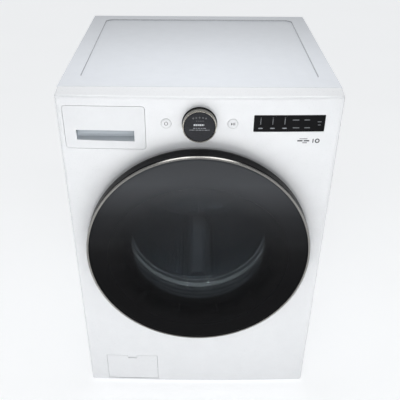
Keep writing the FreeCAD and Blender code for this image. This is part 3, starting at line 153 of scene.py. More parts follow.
def ramp(tree, source, stops):
    """A colour ramp with (position, grey or colour) stops."""
    node = tree.nodes.new("ShaderNodeValToRGB")
    elements = node.color_ramp.elements
    while len(elements) < len(stops):
        elements.new(0.5)
    for element, (position, colour) in zip(elements, stops):
        element.position = position
        element.color = (colour,) * 3 + (1,) if isinstance(colour, (int, float)) else (*colour, 1)
    link(tree, source, node.inputs["Fac"])
    return node


def shade(colour, factor):
    """A colour made lighter or darker."""
    return tuple(min(1.0, c * factor) for c in colour[:3])


def finish_of(name, colour, rough, metallic=0.0, grain=60.0, vary=0.04, rough_vary=0.05,
              bump=0.02, stretch=(1, 1, 1), **principled):
    """A surface with uneven colour, uneven roughness and a fine relief, all from noise."""
    material = bpy.data.materials.new(name)
    material.use_nodes = True
    tree = material.node_tree
    shader = tree.nodes["Principled BSDF"]
    shader.inputs["Metallic"].default_value = metallic
    for key, value in principled.items():
        shader.inputs[key.replace("_", " ")].default_value = value
    place = node_of(tree, "ShaderNodeTexCoord")
    mapping = node_of(tree, "ShaderNodeMapping")
    mapping.inputs["Scale"].default_value = stretch
    link(tree, place.outputs["Object"], mapping.inputs["Vector"])
    broad = node_of(tree, "ShaderNodeTexNoise", Scale=grain / 12, Detail=3.0)
    fine = node_of(tree, "ShaderNodeTexNoise", Scale=grain, Detail=4.0)
    for noise in (broad, fine):
        link(tree, mapping.outputs["Vector"], noise.inputs["Vector"])
    tint = ramp(tree, broad.outputs["Fac"], [(0.3, shade(colour, 1 - vary)), (0.7, shade(colour, 1 + vary))])
    link(tree, tint.outputs["Color"], shader.inputs["Base Color"])
    gloss = ramp(tree, fine.outputs["Fac"], [(0.3, max(0.0, rough - rough_vary)), (0.7, rough + rough_vary)])
    link(tree, gloss.outputs["Color"], shader.inputs["Roughness"])
    if bump:
        relief = node_of(tree, "ShaderNodeBump", Strength=bump, Distance=0.001)
        link(tree, fine.outputs["Fac"], relief.inputs["Height"])
        link(tree, relief.outputs["Normal"], shader.inputs["Normal"])
    return material


def glowing(name, colour, strength):
    """A lit mark behind dark glass, uneven along its length."""
    return finish_of(name, colour, 0.4, grain=900, vary=0.1, bump=0,
                     Emission_Color=(*colour, 1), Emission_Strength=strength)


def smoked_glass(name):
    """Door cover: opaque black print round the rim that fades into clear smoked glass.

    Its colour is paler towards its top: a painted reflection, as if the dome mirrored a bright room.
    """
    material = bpy.data.materials.new(name)
    material.use_nodes = True
    tree = material.node_tree
    shader = tree.nodes["Principled BSDF"]
    shader.inputs["Roughness"].default_value = 0.05
    shader.inputs["IOR"].default_value = 1.5
    shader.inputs["Specular IOR Level"].default_value = 0.05
    _, centred = place_about(tree, DRUM_Z)
    reach = ranged(tree, distance_from_axis(tree, centred), 0.0, 0.3)
    cover = ramp(tree, reach, [(0.0, 0.46), (0.56, 0.54), (0.70, 0.86), (0.82, 1.0)])
    link(tree, cover.outputs["Color"], shader.inputs["Alpha"])
    ripple = node_of(tree, "ShaderNodeTexNoise", Scale=400.0, Detail=2.0)
    link(tree, centred, ripple.inputs["Vector"])
    tint = ramp(tree, ripple.outputs["Fac"], [(0.3, (0.002, 0.002, 0.0024)), (0.7, (0.003, 0.003, 0.0036))])
    # painted reflection: the glass is paler towards its top, as if the dome mirrored a bright room
    painted_room_reflection = ramp(tree, ranged(tree, separated(tree, centred)["Z"], -0.10, 0.28),
                [(0.0, 0.0), (0.3, 0.03), (0.6, 0.32), (0.85, 1.0), (1.0, 0.8)])
    toned = blended(tree, painted_room_reflection.outputs["Color"], tint.outputs["Color"], (0.050, 0.053, 0.058))
    link(tree, toned, shader.inputs["Base Color"])
    return material


def banded_metal(name, height, bands, face_radius, base, rough):
    """Turned metal with dark bands along its depth and a black front inside face_radius."""
    material = finish_of(name, base, rough, metallic=1.0, grain=500, vary=0.05, bump=0.02)
    tree = material.node_tree
    shader = tree.nodes["Principled BSDF"]
    place, centred = place_about(tree, height)
    depth = arithmetic(tree, "SUBTRACT", separated(tree, place)["Y"], FRONT)
    tint = shader.inputs["Base Color"].links[0].from_socket
    start, end = bands[0][0], bands[-1][0]
    stripes = ramp(tree, ranged(tree, depth, start, end),
                   [((along - start) / (end - start), grey) for along, grey in bands])
    toned = node_of(tree, "ShaderNodeMix", data_type="RGBA", blend_type="MULTIPLY")
    toned.inputs[0].default_value = 1.0
    link(tree, tint, toned.inputs[6])
    link(tree, stripes.outputs["Color"], toned.inputs[7])
    radius = distance_from_axis(tree, centred)
    rim = ranged(tree, radius, face_radius - 0.0003, face_radius + 0.0003)
    link(tree, blended(tree, rim, (0.012, 0.012, 0.014), toned.outputs[2]), shader.inputs["Base Color"])
    return material


def drawer_plastic(name, white):
    """White drawer front whose finger pocket is blue grey, with painted shade that darkens it towards its
    top.
    """
    material = finish_of(name, white, 0.33, grain=700, vary=0.01, rough_vary=0.04, bump=0.03)
    tree = material.node_tree
    shader = tree.nodes["Principled BSDF"]
    place, _ = place_about(tree, 0.0)
    split = separated(tree, place)
    depth = arithmetic(tree, "SUBTRACT", split["Y"], FRONT)
    bow = arithmetic(tree, "MULTIPLY", arithmetic(tree, "MULTIPLY", split["X"], split["X"]),
                     CROWN / HALF_WIDTH ** 2)
    mask = ranged(tree, arithmetic(tree, "SUBTRACT", depth, bow), 0.0006, 0.0016)
    left, right = POCKET_SIDES
    bottom, top = POCKET_ENDS
    for axis, outside, within in (("X", left, left + 0.0008), ("X", right, right - 0.0008),
                                  ("Z", bottom, bottom + 0.0015), ("Z", top, top - 0.001)):
        mask = arithmetic(tree, "MULTIPLY", mask, ranged(tree, split[axis], outside, within))
    # painted shade: the pocket's blue grey darkens towards its top, as a recess would be shaded there
    pocket_blue_grey_and_painted_shade = ramp(tree, ranged(tree, split["Z"], 0.866, 0.906),
                [(0.0, (0.66, 0.70, 0.73)), (0.3, (0.44, 0.48, 0.52)),
                 (0.75, (0.30, 0.335, 0.37)), (1.0, (0.22, 0.25, 0.28))])
    tint = shader.inputs["Base Color"].links[0].from_socket
    link(tree, blended(tree, mask, tint, pocket_blue_grey_and_painted_shade.outputs["Color"]), shader.inputs["Base Color"])
    return material


def pressed_enamel(name, colour, **settings):
    """Enamel at under half its brightness on the slopes of the lid's pressed outline: painted shade, so that
    the line reads.
    """
    material = finish_of(name, colour, **settings)
    painted_outline_shade = 0.45
    tree = material.node_tree
    shader = tree.nodes["Principled BSDF"]
    place, _ = place_about(tree, 0.0)
    sideways = arithmetic(tree, "ABSOLUTE", separated(tree, place)["X"])
    border = HALF_WIDTH - LID_BORDER
    within = ranged(tree, sideways, border + 0.004, border)
    surface = node_of(tree, "ShaderNodeNewGeometry")
    slope = ranged(tree, separated(tree, surface.outputs["Normal"])["Z"], 0.99, 0.8)
    tint = shader.inputs["Base Color"].links[0].from_socket
    # painted shade: the slopes of the pressed outline are darkened, as if shaded
    toned = blended(tree, arithmetic(tree, "MULTIPLY", slope, within), tint, shade(colour, painted_outline_shade))
    link(tree, toned, shader.inputs["Base Color"])
    return material


MATERIALS = {
    "enamel": finish_of("enamel", (0.72, 0.73, 0.745), 0.30, grain=420, vary=0.012, rough_vary=0.04,
                        bump=0.03, Coat_Weight=0.3, Coat_Roughness=0.12),
    # the lid's enamel is a darker, bluer copy of the front's white enamel: painted shade on the top
    "enamel_top_painted_shade": pressed_enamel("enamel_top_painted_shade", (0.66, 0.685, 0.725), rough=0.34, grain=420, vary=0.015,
                                 rough_vary=0.05, bump=0.04, Coat_Weight=0.25, Coat_Roughness=0.15),
    "white_plastic": finish_of("white_plastic", (0.72, 0.73, 0.745), 0.33, grain=700, vary=0.01,
                               rough_vary=0.04, bump=0.03),
    "galvanised": finish_of("galvanised", (0.58, 0.60, 0.62), 0.42, metallic=0.9, grain=55, vary=0.12,
                            rough_vary=0.12, bump=0.05),
    "zinc": finish_of("zinc", (0.62, 0.62, 0.60), 0.34, metallic=1.0, grain=160, vary=0.08, bump=0.04),
    "grey_plastic": finish_of("grey_plastic", (0.42, 0.44, 0.46), 0.48, grain=900, vary=0.03, bump=0.08),
    "lifter_plastic": finish_of("lifter_plastic", (0.10, 0.105, 0.115), 0.3, grain=900, vary=0.05, bump=0.05),
    "liner_plastic": finish_of("liner_plastic", (0.13, 0.133, 0.14), 0.4, grain=900, vary=0.04, bump=0.06),
    "light_plastic": finish_of("light_plastic", (0.62, 0.63, 0.64), 0.5, grain=900, vary=0.03, bump=0.08),
    "black_gloss": finish_of("black_gloss", (0.004, 0.004, 0.005), 0.3, grain=300, vary=0.1,
                             rough_vary=0.04, bump=0.01, Specular_IOR_Level=0.06),
    "dark_plastic": finish_of("dark_plastic", (0.035, 0.035, 0.038), 0.5, grain=900, vary=0.08, bump=0.08),
    "drum_steel": finish_of("drum_steel", (0.34, 0.375, 0.40), 0.15, metallic=1.0, grain=160, vary=0.08,
                            rough_vary=0.05, bump=0.05),
    "stainless": finish_of("stainless", (0.66, 0.68, 0.70), 0.17, metallic=1.0, grain=240, vary=0.06,
                           rough_vary=0.07, bump=0.03, stretch=(1, 24, 1)),
    "cast": finish_of("cast", (0.50, 0.51, 0.52), 0.5, metallic=0.9, grain=350, vary=0.1, bump=0.2),
    "tub_plastic": finish_of("tub_plastic", (0.56, 0.57, 0.56), 0.55, grain=300, vary=0.05, bump=0.1),
    "concrete": finish_of("concrete", (0.36, 0.35, 0.33), 0.85, grain=180, vary=0.2, bump=0.5),
    "grey_rubber": finish_of("grey_rubber", (0.20, 0.21, 0.22), 0.55, grain=500, vary=0.06, bump=0.08),
    "black_rubber": finish_of("black_rubber", (0.02, 0.02, 0.02), 0.6, grain=500, vary=0.15, bump=0.1),
    "copper": finish_of("copper", (0.55, 0.24, 0.10), 0.35, metallic=1.0, grain=900, vary=0.15, bump=0.2),
    "spring": finish_of("spring", (0.22, 0.22, 0.23), 0.35, metallic=1.0, grain=300, vary=0.1, bump=0.05),
    "board": finish_of("board", (0.02, 0.13, 0.06), 0.4, grain=240, vary=0.25, bump=0.08),
    "blue_plastic": finish_of("blue_plastic", (0.16, 0.33, 0.52), 0.32, grain=600, vary=0.03, bump=0.03),
    "display": finish_of("display", (0.006, 0.006, 0.007), 0.1, grain=300, vary=0.1, rough_vary=0.02,
                         bump=0, Specular_IOR_Level=0.03),
    "screen": finish_of("screen", (0.026, 0.027, 0.031), 0.28, grain=500, vary=0.08, rough_vary=0.04,
                        bump=0.01, Specular_IOR_Level=0.06),
    "print_grey": finish_of("print_grey", (0.16, 0.17, 0.18), 0.5, grain=900, vary=0.1, bump=0.02),
    "print_dark": finish_of("print_dark", (0.05, 0.05, 0.055), 0.5, grain=900, vary=0.1, bump=0.02),
    "mark": glowing("mark", (0.22, 0.23, 0.25), 0.06),
    "mark_dim": glowing("mark_dim", (0.12, 0.125, 0.135), 0.03),
    "mark_bright": glowing("mark_bright", (0.42, 0.43, 0.45), 0.22),
    "smoked": smoked_glass("smoked"),
    "clear": finish_of("clear", (0.30, 0.33, 0.35), 0.04, grain=30, vary=0.05, rough_vary=0.02, bump=0,
                       Alpha=0.16, IOR=1.5),
    "door_ring": banded_metal("door_ring", DRUM_Z, [(-0.0475, 1.0), (-0.0425, 0.9)], 0.2945,
                              (0.22, 0.215, 0.205), 0.24),
    "dial_metal": banded_metal("dial_metal", DIAL.z,
                               [(-0.0215, 1.0), (-0.0185, 0.9), (-0.0178, 0.25), (-0.0165, 0.3),
                                (-0.0158, 0.8), (-0.012, 0.75), (-0.0112, 0.2), (-0.003, 0.16)],
                               0.0385, (0.47, 0.45, 0.40), 0.26),
    "drawer": drawer_plastic("drawer", (0.72, 0.73, 0.745)),
}

CAD_FINISHES = {
    "enamel": ["front_panel", "cabinet_wrap", "filter_hatch"],
    "enamel_top_painted_shade": ["top_plate"],
    "drawer": ["drawer_front"],
    "white_plastic": ["drawer_tray", "power_button", "start_button", "inlet_valves"],
    "galvanised": ["rear_panel", "rear_access_cover", "base_frame", "top_braces"],
    "zinc": ["door_arm_and_hook", "door_hinge_bracket", "rear_fasteners", "tub_fasteners",
             "bearings_and_seal", "drive_shaft", "rotor"],
    "grey_plastic": ["control_box", "drain_pump"],
    "lifter_plastic": ["drum_lifters"],
    "liner_plastic": ["door_liner"],
    "light_plastic": ["dispenser_housing"],
    "black_gloss": ["door_frame", "control_housing", "cord_gland"],
    "dark_plastic": ["door_lock", "damper_cylinders"],
    "door_ring": ["door_trim_ring"],
    "dial_metal": ["dial_ring"],
    "stainless": ["drum_front", "heater"],
    "cast": ["drum_spider"],
    "tub_plastic": ["tub_front", "tub_rear"],
    "concrete": ["counterweights"],
    "black_rubber": ["hoses", "foot_front_left", "foot_front_right", "foot_rear_left", "foot_rear_right"],
    "copper": ["stator"],
    "spring": ["gasket_wire", "damper_rods"],
    "board": ["display_board"],
    "blue_plastic": ["drawer_insert", "filter_cap"],
    "display": ["display_glass"],
    "screen": ["dial_screen"],
    "clear": ["door_bowl"],
}


def coat(piece, finish):
    """Gives a piece or CAD node one finish on all its material slots."""
    materials = piece.data.materials
    if not materials:
        materials.append(MATERIALS[finish])
    for i in range(len(materials)):
        materials[i] = MATERIALS[finish]


for finish, names in CAD_FINISHES.items():
    for name in names:
        coat(NODES[name], finish)


# ---- mesh building blocks ------------------------------------------------------------------
def new_piece(name, vertices, faces, finish, body, slot_name, sharp=35):
    """A mesh object that rides on a CAD body. Edges steeper than sharp degrees stay crisp."""
    mesh = bpy.data.meshes.new(name)
    mesh.from_pydata([tuple(v) for v in vertices], [], faces)
    mesh.validate()
    clean = bmesh.new()
    clean.from_mesh(mesh)
    bmesh.ops.recalc_face_normals(clean, faces=clean.faces)
    clean.to_mesh(mesh)
    clean.free()
    mesh.shade_smooth()
    mesh.set_sharp_from_angle(angle=math.radians(sharp))
    piece = bpy.data.objects.new(name, mesh)
    bpy.context.scene.collection.objects.link(piece)
    coat(piece, finish)
    if body:
        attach(piece, body)
    return piece


def lathe(profile, centre, segments):
    """A closed profile of (depth, radius) millimetres, turned about +Y through centre."""
    vertices, faces = [], []
    count = len(profile)
    for i in range(segments):
        angle = TAU * i / segments
        for depth, radius in profile:
            vertices.append((centre.x + radius / 1000 * math.sin(angle), FRONT + depth / 1000,
                             centre.z + radius / 1000 * math.cos(angle)))
    for i in range(segments):
        here, after = i * count, ((i + 1) % segments) * count
        for j in range(count):
            k = (j + 1) % count
            faces.append((here + j, here + k, after + k, after + j))
    return vertices, faces


def smooth_path(points, rounds):
    """Cuts the corners of a closed profile."""
    for _ in range(rounds):
        cut = []
        for (a, b), (c, d) in zip(points, points[1:] + points[:1]):
            cut += [(a * 0.75 + c * 0.25, b * 0.75 + d * 0.25), (a * 0.25 + c * 0.75, b * 0.25 + d * 0.75)]
        points = cut
    return points


def slab(outline, front, thickness):
    """A thin plate from an outline of (x, z) millimetres; front(x, z) gives its front depth."""
    count = len(outline)
    vertices = [spot(x, front(x, z), z) for x, z in outline]
    vertices += [spot(x, front(x, z) + thickness, z) for x, z in outline]
    faces = [tuple(range(count)), tuple(range(2 * count - 1, count - 1, -1))]
    faces += [(i, i + count, (i + 1) % count + count, (i + 1) % count) for i in range(count)]
    return vertices, faces


def merged(parts):
    """Several (vertices, faces) as one."""
    vertices, faces = [], []
    for some, shapes in parts:
        base = len(vertices)
        vertices += list(some)
        faces += [tuple(i + base for i in face) for face in shapes]
    return vertices, faces


def bar(x, z, width, height, front, thickness=0.25, corner=None):
    """A flat mark with rounded ends, centred at (x, z)."""
    corner = min(width, height) / 2 * 0.98 if corner is None else corner
    outline = []
    for sx, sz, start in ((1, 1, 0), (-1, 1, 90), (-1, -1, 180), (1, -1, 270)):
        for step in range(4):
            angle = math.radians(start + step * 30)
            outline.append((x + sx * (width / 2 - corner) + corner * math.cos(angle),
                            z + sz * (height / 2 - corner) + corner * math.sin(angle)))
    return slab(outline, front, thickness)


def arc_band(x, z, radius, width, start, end, front, thickness=0.25, steps=24):
    """A flat band along an arc; angles are clockwise degrees from straight up."""
    inner, outer = radius - width / 2, radius + width / 2
    angles = [math.radians(start + (end - start) * i / steps) for i in range(steps + 1)]
    outline = [(x + outer * math.sin(a), z + outer * math.cos(a)) for a in angles]
    outline += [(x + inner * math.sin(a), z + inner * math.cos(a)) for a in reversed(angles)]
    count = steps + 1
    vertices = [spot(px, front(px, pz), pz) for px, pz in outline]
    vertices += [spot(px, front(px, pz) + thickness, pz) for px, pz in outline]
    size = 2 * count
    faces = []
    for i in range(steps):
        j = size - 1 - i
        faces.append((i, i + 1, j - 1, j))
        faces.append((i + size, j + size, j - 1 + size, i + 1 + size))
    faces += [(i, i + size, (i + 1) % size + size, (i + 1) % size) for i in range(size)]
    return vertices, faces


def hoop(x, z, inner, outer, front, thickness=0.25, steps=48):
    """A flat ring."""
    vertices, faces = [], []
    for i in range(steps):
        angle = TAU * i / steps
        for radius in (inner, outer):
            px, pz = x + radius * math.sin(angle), z + radius * math.cos(angle)
            vertices += [spot(px, front(px, pz), pz), spot(px, front(px, pz) + thickness, pz)]
    for i in range(steps):
        a, b = 4 * i, 4 * ((i + 1) % steps)
        faces += [(a, a + 2, b + 2, b), (a + 1, b + 1, b + 3, a + 3), (a, b, b + 1, a + 1),
                  (a + 2, a + 3, b + 3, b + 2)]
    return vertices, faces


# ---- door ----------------------------------------------------------------------------------
def door_cover():
    """The domed smoked glass, finely turned so that its reflections run smoothly."""
    low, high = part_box("door_glass")
    edge = (high.x - low.x) / 2 * 1000
    back = (high.y - FRONT) * 1000
    apex = (low.y - FRONT) * 1000
    thickness, steps, middle = 1.9, 40, 0.5
    rim = back - thickness
    profile = [(back, middle), (back, edge), (rim + 0.9, edge), (rim + 0.3, edge - 0.25), (rim, edge - 0.9)]
    for i in range(1, steps):
        radius = edge * (1 - i / steps)
        profile.append((apex + (rim - apex) * (radius / edge) ** 2, max(radius, middle)))
    profile.append((apex, middle))
    piece = new_piece("door_cover", *lathe(profile, DOOR, 192), "smoked", "door", "tinted_glass")
    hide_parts("door_glass")


def soft_step(value, low, high):
    """Rises smoothly from 0 at low to 1 at high."""
    t = max(0.0, min(1.0, (value - low) / (high - low)))
    return t * t * (3 - 2 * t)


# ---- drum ----------------------------------------------------------------------------------
def drum_wall():
    """Perforated drum shell: rows of small flared holes between plain bands."""
    low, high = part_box("drum_shell")
    radius = (high.z - low.z) / 2 * 1000 - 0.5
    front, back = (low.y - FRONT) * 1000, (high.y - FRONT) * 1000
    columns, rows, ring = 132, 34, 8
    bead_depths, bead_rise = (208, 424), 2.4
    flare_radius, hole_radius, flare_depth = 4.0, 2.5, 0.9
    width, height = TAU / columns, (back - front) / rows
    vertices, faces, index = [], [], {}

    def point(angle, along, outwards=0.0):
        """Adds a point of the wall, raised inwards at the two stiffening beads."""
        bead = sum(bead_rise * (1 - soft_step(abs(along - depth), 3, 12)) for depth in bead_depths)
        reach = (radius + outwards - bead) / 1000
        vertices.append((reach * math.sin(angle), FRONT + along / 1000, DRUM_Z + reach * math.cos(angle)))
        return len(vertices) - 1

    def corner(i, j):
        """Corner of a cell, shared with its neighbours."""
        key = (i % columns, j)
        if key not in index:
            index[key] = point(key[0] * width, front + j * height)
        return index[key]

    def lip(i, j, size, outwards):
        """Points round the hole in the middle of a cell."""
        turns = [TAU * (k + 0.5) / ring for k in range(ring)]
        return [point((i + 0.5) * width + size * math.cos(turn) / radius,
                      front + (j + 0.5) * height + size * math.sin(turn), outwards) for turn in turns]

    for j in range(rows):
        for i in range(columns):
            a, b, c, d = corner(i, j), corner(i + 1, j), corner(i + 1, j + 1), corner(i, j + 1)
            plain_row = j in (0, rows - 1) or j % 11 == 5
            if plain_row or (i + (j % 2) * 6) % 12 == 0:
                faces.append((a, b, c, d))
                continue
            outer, inner = lip(i, j, flare_radius, 0.0), lip(i, j, hole_radius, flare_depth)
            corners = [c, d, a, b]
            for k in range(ring):
                n = (k + 1) % ring
                faces.append((outer[k], outer[n], inner[n], inner[k]))
            for q in range(4):
                first = 2 * q
                faces.append((corners[q], outer[first], outer[first + 1]))
                faces.append((corners[q], outer[(first + 1) % ring], outer[(first + 2) % ring],
                              corners[(q + 1) % 4]))
    piece = new_piece("drum_perforated_wall", vertices, faces, "drum_steel", "drum", "stainless", 60)
    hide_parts("drum_shell")


def back_dish(radius):
    """Depth of the dished plate, in millimetres, at a distance from the axis."""
    outline = [(0, 400), (42, 400), (54, 405.5), (124, 406.6), (142, 418), (224, 535), (238, 555),
               (247, 560), (256, 557), (264, 559.5), (280, 560.4)]
    for (inner, front), (outer, back) in zip(outline, outline[1:]):
        if radius <= outer:
            return front + (back - front) * (radius - inner) / (outer - inner)
    return back


def back_relief(radius, angle):
    """How far the pressed pattern stands forward of the dish, in millimetres."""
    lobe_rise, groove_drop, ring_rise = 11.0, 6.0, 7.0
    ring_place, ring_radius = 122, 38
    height = 0.0
    for k in range(3):
        turn = math.remainder(angle - k * TAU / 3, TAU)
        along, across = radius * math.cos(turn), abs(radius * math.sin(turn))
        wide = 24 + 22 * soft_step(along, 60, 225)
        lobe = (1 - soft_step(across, wide - 6, wide + 4)) * soft_step(along, 50, 60)
        lobe *= 1 - soft_step(along, 216, 232)
        groove = 1 - soft_step(abs(across - wide * 0.42), 2, 6)
        height += lobe_rise * lobe - groove_drop * lobe * groove
        for side in (-1, 1):
            turn = math.remainder(angle - (k + 0.34 * side) * TAU / 3, TAU)
            distance = math.hypot(radius * math.cos(turn) - ring_place, radius * math.sin(turn))
            height += ring_rise * (1 - soft_step(abs(distance - ring_radius), 1, 7)) * (1 - lobe)
    return height


def drum_bottom():
    """Pressed back of the drum: a dish with three lobes, round embossed rings and a rim bead."""
    low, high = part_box("drum_back")
    edge = (high.x - low.x) / 2 * 1000
    rings, segments = 130, 288
    middle, sheet, pressed_to = 0.6, 1.2, 240
    vertices, faces = [], []
    for behind in (0.0, sheet):
        for i in range(rings + 1):
            radius = middle + (edge - middle) * i / rings
            for j in range(segments):
                angle = TAU * j / segments
                relief = back_relief(radius, angle) if radius < pressed_to else 0.0
                depth = back_dish(radius) - relief + behind
                vertices.append((radius / 1000 * math.sin(angle), FRONT + depth / 1000,
                                 DRUM_Z - radius / 1000 * math.cos(angle)))
    layer = (rings + 1) * segments
    for side in (0, layer):
        for i in range(rings):
            for j in range(segments):
                a, b = side + i * segments + j, side + i * segments + (j + 1) % segments
                faces.append((a, b, b + segments, a + segments))
    for j in range(segments):
        n = (j + 1) % segments
        rim = rings * segments
        faces.append((rim + j, rim + n, layer + rim + n, layer + rim + j))
        faces.append((j, layer + j, layer + n, n))
    piece = new_piece("drum_pressed_back", vertices, faces, "drum_steel", "drum", "stainless", 75)
    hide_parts("drum_back")


# ---- seal and springs ----------------------------------------------------------------------
def door_seal():
    """Moulded rubber bellows, with rounded folds and a lip towards the door."""
    outline = [
        (6.4, 184), (2, 190), (1.6, 208), (4.5, 214.5), (24.3, 214.5), (24.9, 217.2), (24.9, 224),
        (34, 229.4), (55, 229.4), (59, 217.4), (70, 217.4), (72, 210.4), (90, 210.4), (90, 207.2),
        (68, 207.2), (66, 214.2), (56, 214.2), (52, 226), (35.5, 226), (28.2, 221.5), (28.2, 214),
        (24, 211), (14, 208), (9, 199), (15, 190), (14, 184),
    ]
    vertices, faces = lathe(smooth_path(outline, 2), DOOR, 144)
    piece = new_piece("door_seal", vertices, faces, "grey_rubber", None, "grey_rubber", 70)
    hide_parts("gasket")
    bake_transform(piece)


def bending_copy(node, name, finish):
    """A copy of a CAD node, for a part that runs between two bodies."""
    piece = bpy.data.objects.new(name, NODES[node].data.copy())
    bpy.context.scene.collection.objects.link(piece)
    coat(piece, finish)
    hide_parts(node)
    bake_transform(piece)


# ---- prints and marks ----------------------------------------------------------------------
def on_panel(lift):
    """A front that follows the crowned panel, this far before it."""
    return lambda x, z: crown(x / 1000) * 1000 - lift


def flat_at(depth):
    """A front at one depth."""
    return lambda x, z: depth


def printed(name, parts, finish, body, slot_name):
    """Marks joined into one piece."""
    new_piece(name, *merged(parts), finish, body, slot_name, 40)


def button_icons():
    """A power sign, and a start and pause sign."""
    for name, body in (("power_icon", "power_button"), ("start_icon", "start_button")):
        low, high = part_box(body)
        x, z = (low.x + high.x) * 500, (low.z + high.z) * 500
        front = flat_at((low.y - FRONT) * 1000 - 0.05)
        if body == "power_button":
            parts = [arc_band(x, z, 4.0, 1.3, 35, 325, front, 0.4), bar(x, z + 3.6, 1.3, 4.8, front, 0.4)]
        else:
            parts = [slab([(x - 4.4, z - 3.4), (x + 0.2, z), (x - 4.4, z + 3.4)], front, 0.4),
                     bar(x + 2.0, z, 1.5, 7.0, front, 0.4), bar(x + 4.6, z, 1.5, 7.0, front, 0.4)]
        printed(name, parts, "print_dark", body, "dark_plastic")


def dial_graphics():
    """A generic screen: a row of small icons on an arc, a title bar and two lines below."""
    face = (DIAL_FACE - FRONT) * 1000
    top = DIAL.z * 1000

    def front(x, z):
        return face + 0.6 * ((x * x + (z - top) ** 2) / 35.8 ** 2) - 0.12

    icons = []
    for x in (-15, -8, 0, 8, 15):
        icons.append(hoop(x, top + 24 - 0.008 * x * x, 1.0, 1.9, front, 0.2, 16))
    icons += [bar(-7 + 5 * k, top + 15.5, 3.2, 1.0, front, 0.2) for k in range(4)]
    printed("dial_icons", icons, "mark_dim", "cabinet", "black_plastic")
    title = []
    x = -14.0
    for width in (4.4, 3.2, 2.6, 4.6, 3.2, 1.2):
        title.append(bar(x + width / 2, top + 5.6, width, 4.2, front, 0.2, 0.7))
        x += width + 1.1
    printed("dial_title", title, "mark_bright", "cabinet", "black_plastic")
    lines = []
    for z, widths in ((-2.6, (5, 3, 6, 4, 7)), (-7.2, (3, 6, 2, 5, 7, 4, 8, 3))):
        total = sum(widths) + 1.4 * (len(widths) - 1)
        x = -total / 2
        for width in widths:
            lines.append(bar(x + width / 2, top + z, width, 1.5, front, 0.2))
            x += width + 1.4
    printed("dial_lines", lines, "mark", "cabinet", "black_plastic")


def display_graphics():
    """Generic touch marks on the black display: three level bars, and short captions."""
    low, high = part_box("display_glass")
    left, right = low.x * 1000, high.x * 1000
    middle = (low.z + high.z) * 500
    front = on_panel(0.12)
    bright, dim = [], []
    for k in range(3):
        x = left + 16 + 29 * k
        bright.append(bar(x, middle + 5, 1.1, 15, front, 0.2))
        bright.append(bar(x, middle - 12, 11, 2.6, front, 0.2))
        dim.append(bar(x, middle + 14.5, 3, 1.2, front, 0.2))
    for row, z in enumerate((middle + 9, middle - 11)):
        for k, width in enumerate((16, 14)):
            dim.append(bar(left + 100 + 27 * k + 2 * row, z, width, 2.2, front, 0.2))
    dim.append(bar(right - 13, middle + 4, 10, 1.8, front, 0.2))
    dim.append(bar(right - 13, middle - 4, 7, 1.8, front, 0.2))
    printed("display_marks", bright, "mark", "cabinet", "display_glass")
    printed("display_captions", dim, "mark_dim", "cabinet", "display_glass")


def panel_print():
    """Small generic print under the display."""
    front = on_panel(0.05)
    parts = [bar(254, 877.6, 20, 1.6, front, 0.3), bar(246, 872.4, 13, 3.6, front, 0.3, 0.6),
             bar(262, 872.4, 14, 3.6, front, 0.3, 0.6), bar(258, 867, 12, 1.8, front, 0.3)]
    printed("panel_print", parts, "print_dark", "cabinet", "dark_plastic")
    printed("panel_digits", [bar(278, 872, 2.6, 11, front, 0.3), hoop(288.5, 872, 3.2, 6.0, front, 0.3)],
            "print_dark", "cabinet", "dark_plastic")


def hatch_stop():
    """Pale tab that closes the finger notch from behind."""
    front = on_panel(-2.4)
    printed("hatch_stop", [bar(-205.5, 123.5, 37, 21, front, 0.7, 2)], "white_plastic", "cabinet",
            "white_plastic")


# ---- stage, light and camera ---------------------------------------------------------------
def paper_floor(scene):
    """A wide pale sheet under everything."""
    reach = 7.0
    floor = bpy.data.meshes.new("floor")
    floor.from_pydata([(-reach, -reach, 0), (reach, -reach, 0), (reach, reach, 0), (-reach, reach, 0)], [],
                      [(0, 1, 2, 3)])
    sheet = bpy.data.objects.new("floor", floor)
    scene.collection.objects.link(sheet)
    paper = finish_of("floor_paper", (0.9, 0.9, 0.9), 0.85, grain=30, vary=0.01, bump=0,
                      Emission_Color=(*PALE_SKY, 1), Emission_Strength=0.45)
    floor.materials.append(paper)


def backdrop(scene):
    """A soft surround, brightest at the horizon."""
    world = bpy.data.worlds.new("studio")
    scene.world = world
    world.use_nodes = True
    sky = world.node_tree
    background = sky.nodes["Background"]
    background.inputs["Color"].default_value = (*PALE_SKY, 1)
    direction = node_of(sky, "ShaderNodeTexCoord")
    upwards = separated(sky, direction.outputs["Generated"])["Z"]
    link(sky, ranged(sky, upwards, 0.04, 0.42, 0.93, 0.42), background.inputs["Strength"])


def lamp(scene, name, kind, place, target, power, **settings):
    """A light aimed at a point; the camera doesn't see it."""
    light = bpy.data.lights.new(name, kind)
    light.energy = power
    for key, value in settings.items():
        setattr(light, key, value)
    stand = bpy.data.objects.new(name, light)
    scene.collection.objects.link(stand)
    stand.location = place
    stand.rotation_euler = (Vector(target) - Vector(place)).to_track_quat("-Z", "Y").to_euler()
    stand.visible_camera = False
    return stand


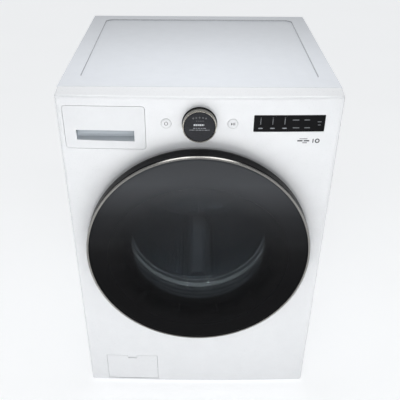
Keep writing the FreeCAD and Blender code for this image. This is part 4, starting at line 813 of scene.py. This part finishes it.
def studio():
    """Floor, surround and lights."""
    scene = bpy.context.scene
    scene.view_settings.view_transform = "Standard"
    scene.view_settings.look = "None"
    paper_floor(scene)
    backdrop(scene)
    lamp(scene, "floor_wash", "SPOT", (0, FRONT - 2.3, 3.2), (0, FRONT - 2.15, 0), 1430,
         spot_size=math.radians(50), spot_blend=1.0, shadow_soft_size=0.5)
    lamp(scene, "top_glow", "AREA", (0, FRONT + 0.12, 1.6), (0, FRONT + 0.10, 0.99), 4.2,
         shape="RECTANGLE", size=1.0, size_y=0.2)
    lamp(scene, "front_high", "AREA", (-0.2, -3.2, 2.1), (0, FRONT, 0.5), 11, size=1.6)
    foot_wash = lamp(scene, "foot_wash", "AREA", (0, FRONT - 0.95, 0.13), (0, FRONT, 0.08), 2.6,
                     shape="RECTANGLE", size=1.6, size_y=0.2)
    foot_wash.visible_glossy = False
    for x in (-75, 90):
        lamp(scene, "drum_lamp", "AREA", spot(x, 215, 552 + 205), spot(x * 0.3, 400, 400), 0.9, size=0.025,
             color=(0.80, 0.92, 1.0))


def camera():
    """Looks down on the front at about 35 degrees, from a little under two metres away."""
    lens_px, picture = 586.4, 400.0
    pitch, yaw, roll = (math.radians(a) for a in (35.32, -0.09, 0.37))
    upright = Matrix(((1, 0, 0), (0, 0, 1), (0, -1, 0)))
    aim = (Matrix.Rotation(yaw, 3, "Z") @ upright @ Matrix.Rotation(-pitch, 3, "X")
           @ Matrix.Rotation(-roll, 3, "Z"))
    aim = aim @ Matrix(((1, 0, 0), (0, -1, 0), (0, 0, -1)))
    data = bpy.data.cameras.new("camera")
    data.sensor_width = 36
    data.lens = lens_px * data.sensor_width / picture
    data.shift_x, data.shift_y = 0.0125, 0.1125
    lens = bpy.data.objects.new("camera", data)
    lens.matrix_world = Matrix.Translation((-0.011, FRONT - 1.314, 1.492)) @ aim.to_4x4()
    bpy.context.scene.collection.objects.link(lens)
    bpy.context.scene.camera = lens


camera()
studio()
door_cover()
drum_wall()
drum_bottom()
door_seal()
bending_copy("suspension_springs", "coil_springs", "spring")
bending_copy("fill_bellows", "fill_sleeve", "black_rubber")
bending_copy("sump_hose", "sump_tube", "black_rubber")
button_icons()
dial_graphics()
display_graphics()
panel_print()
hatch_stop()
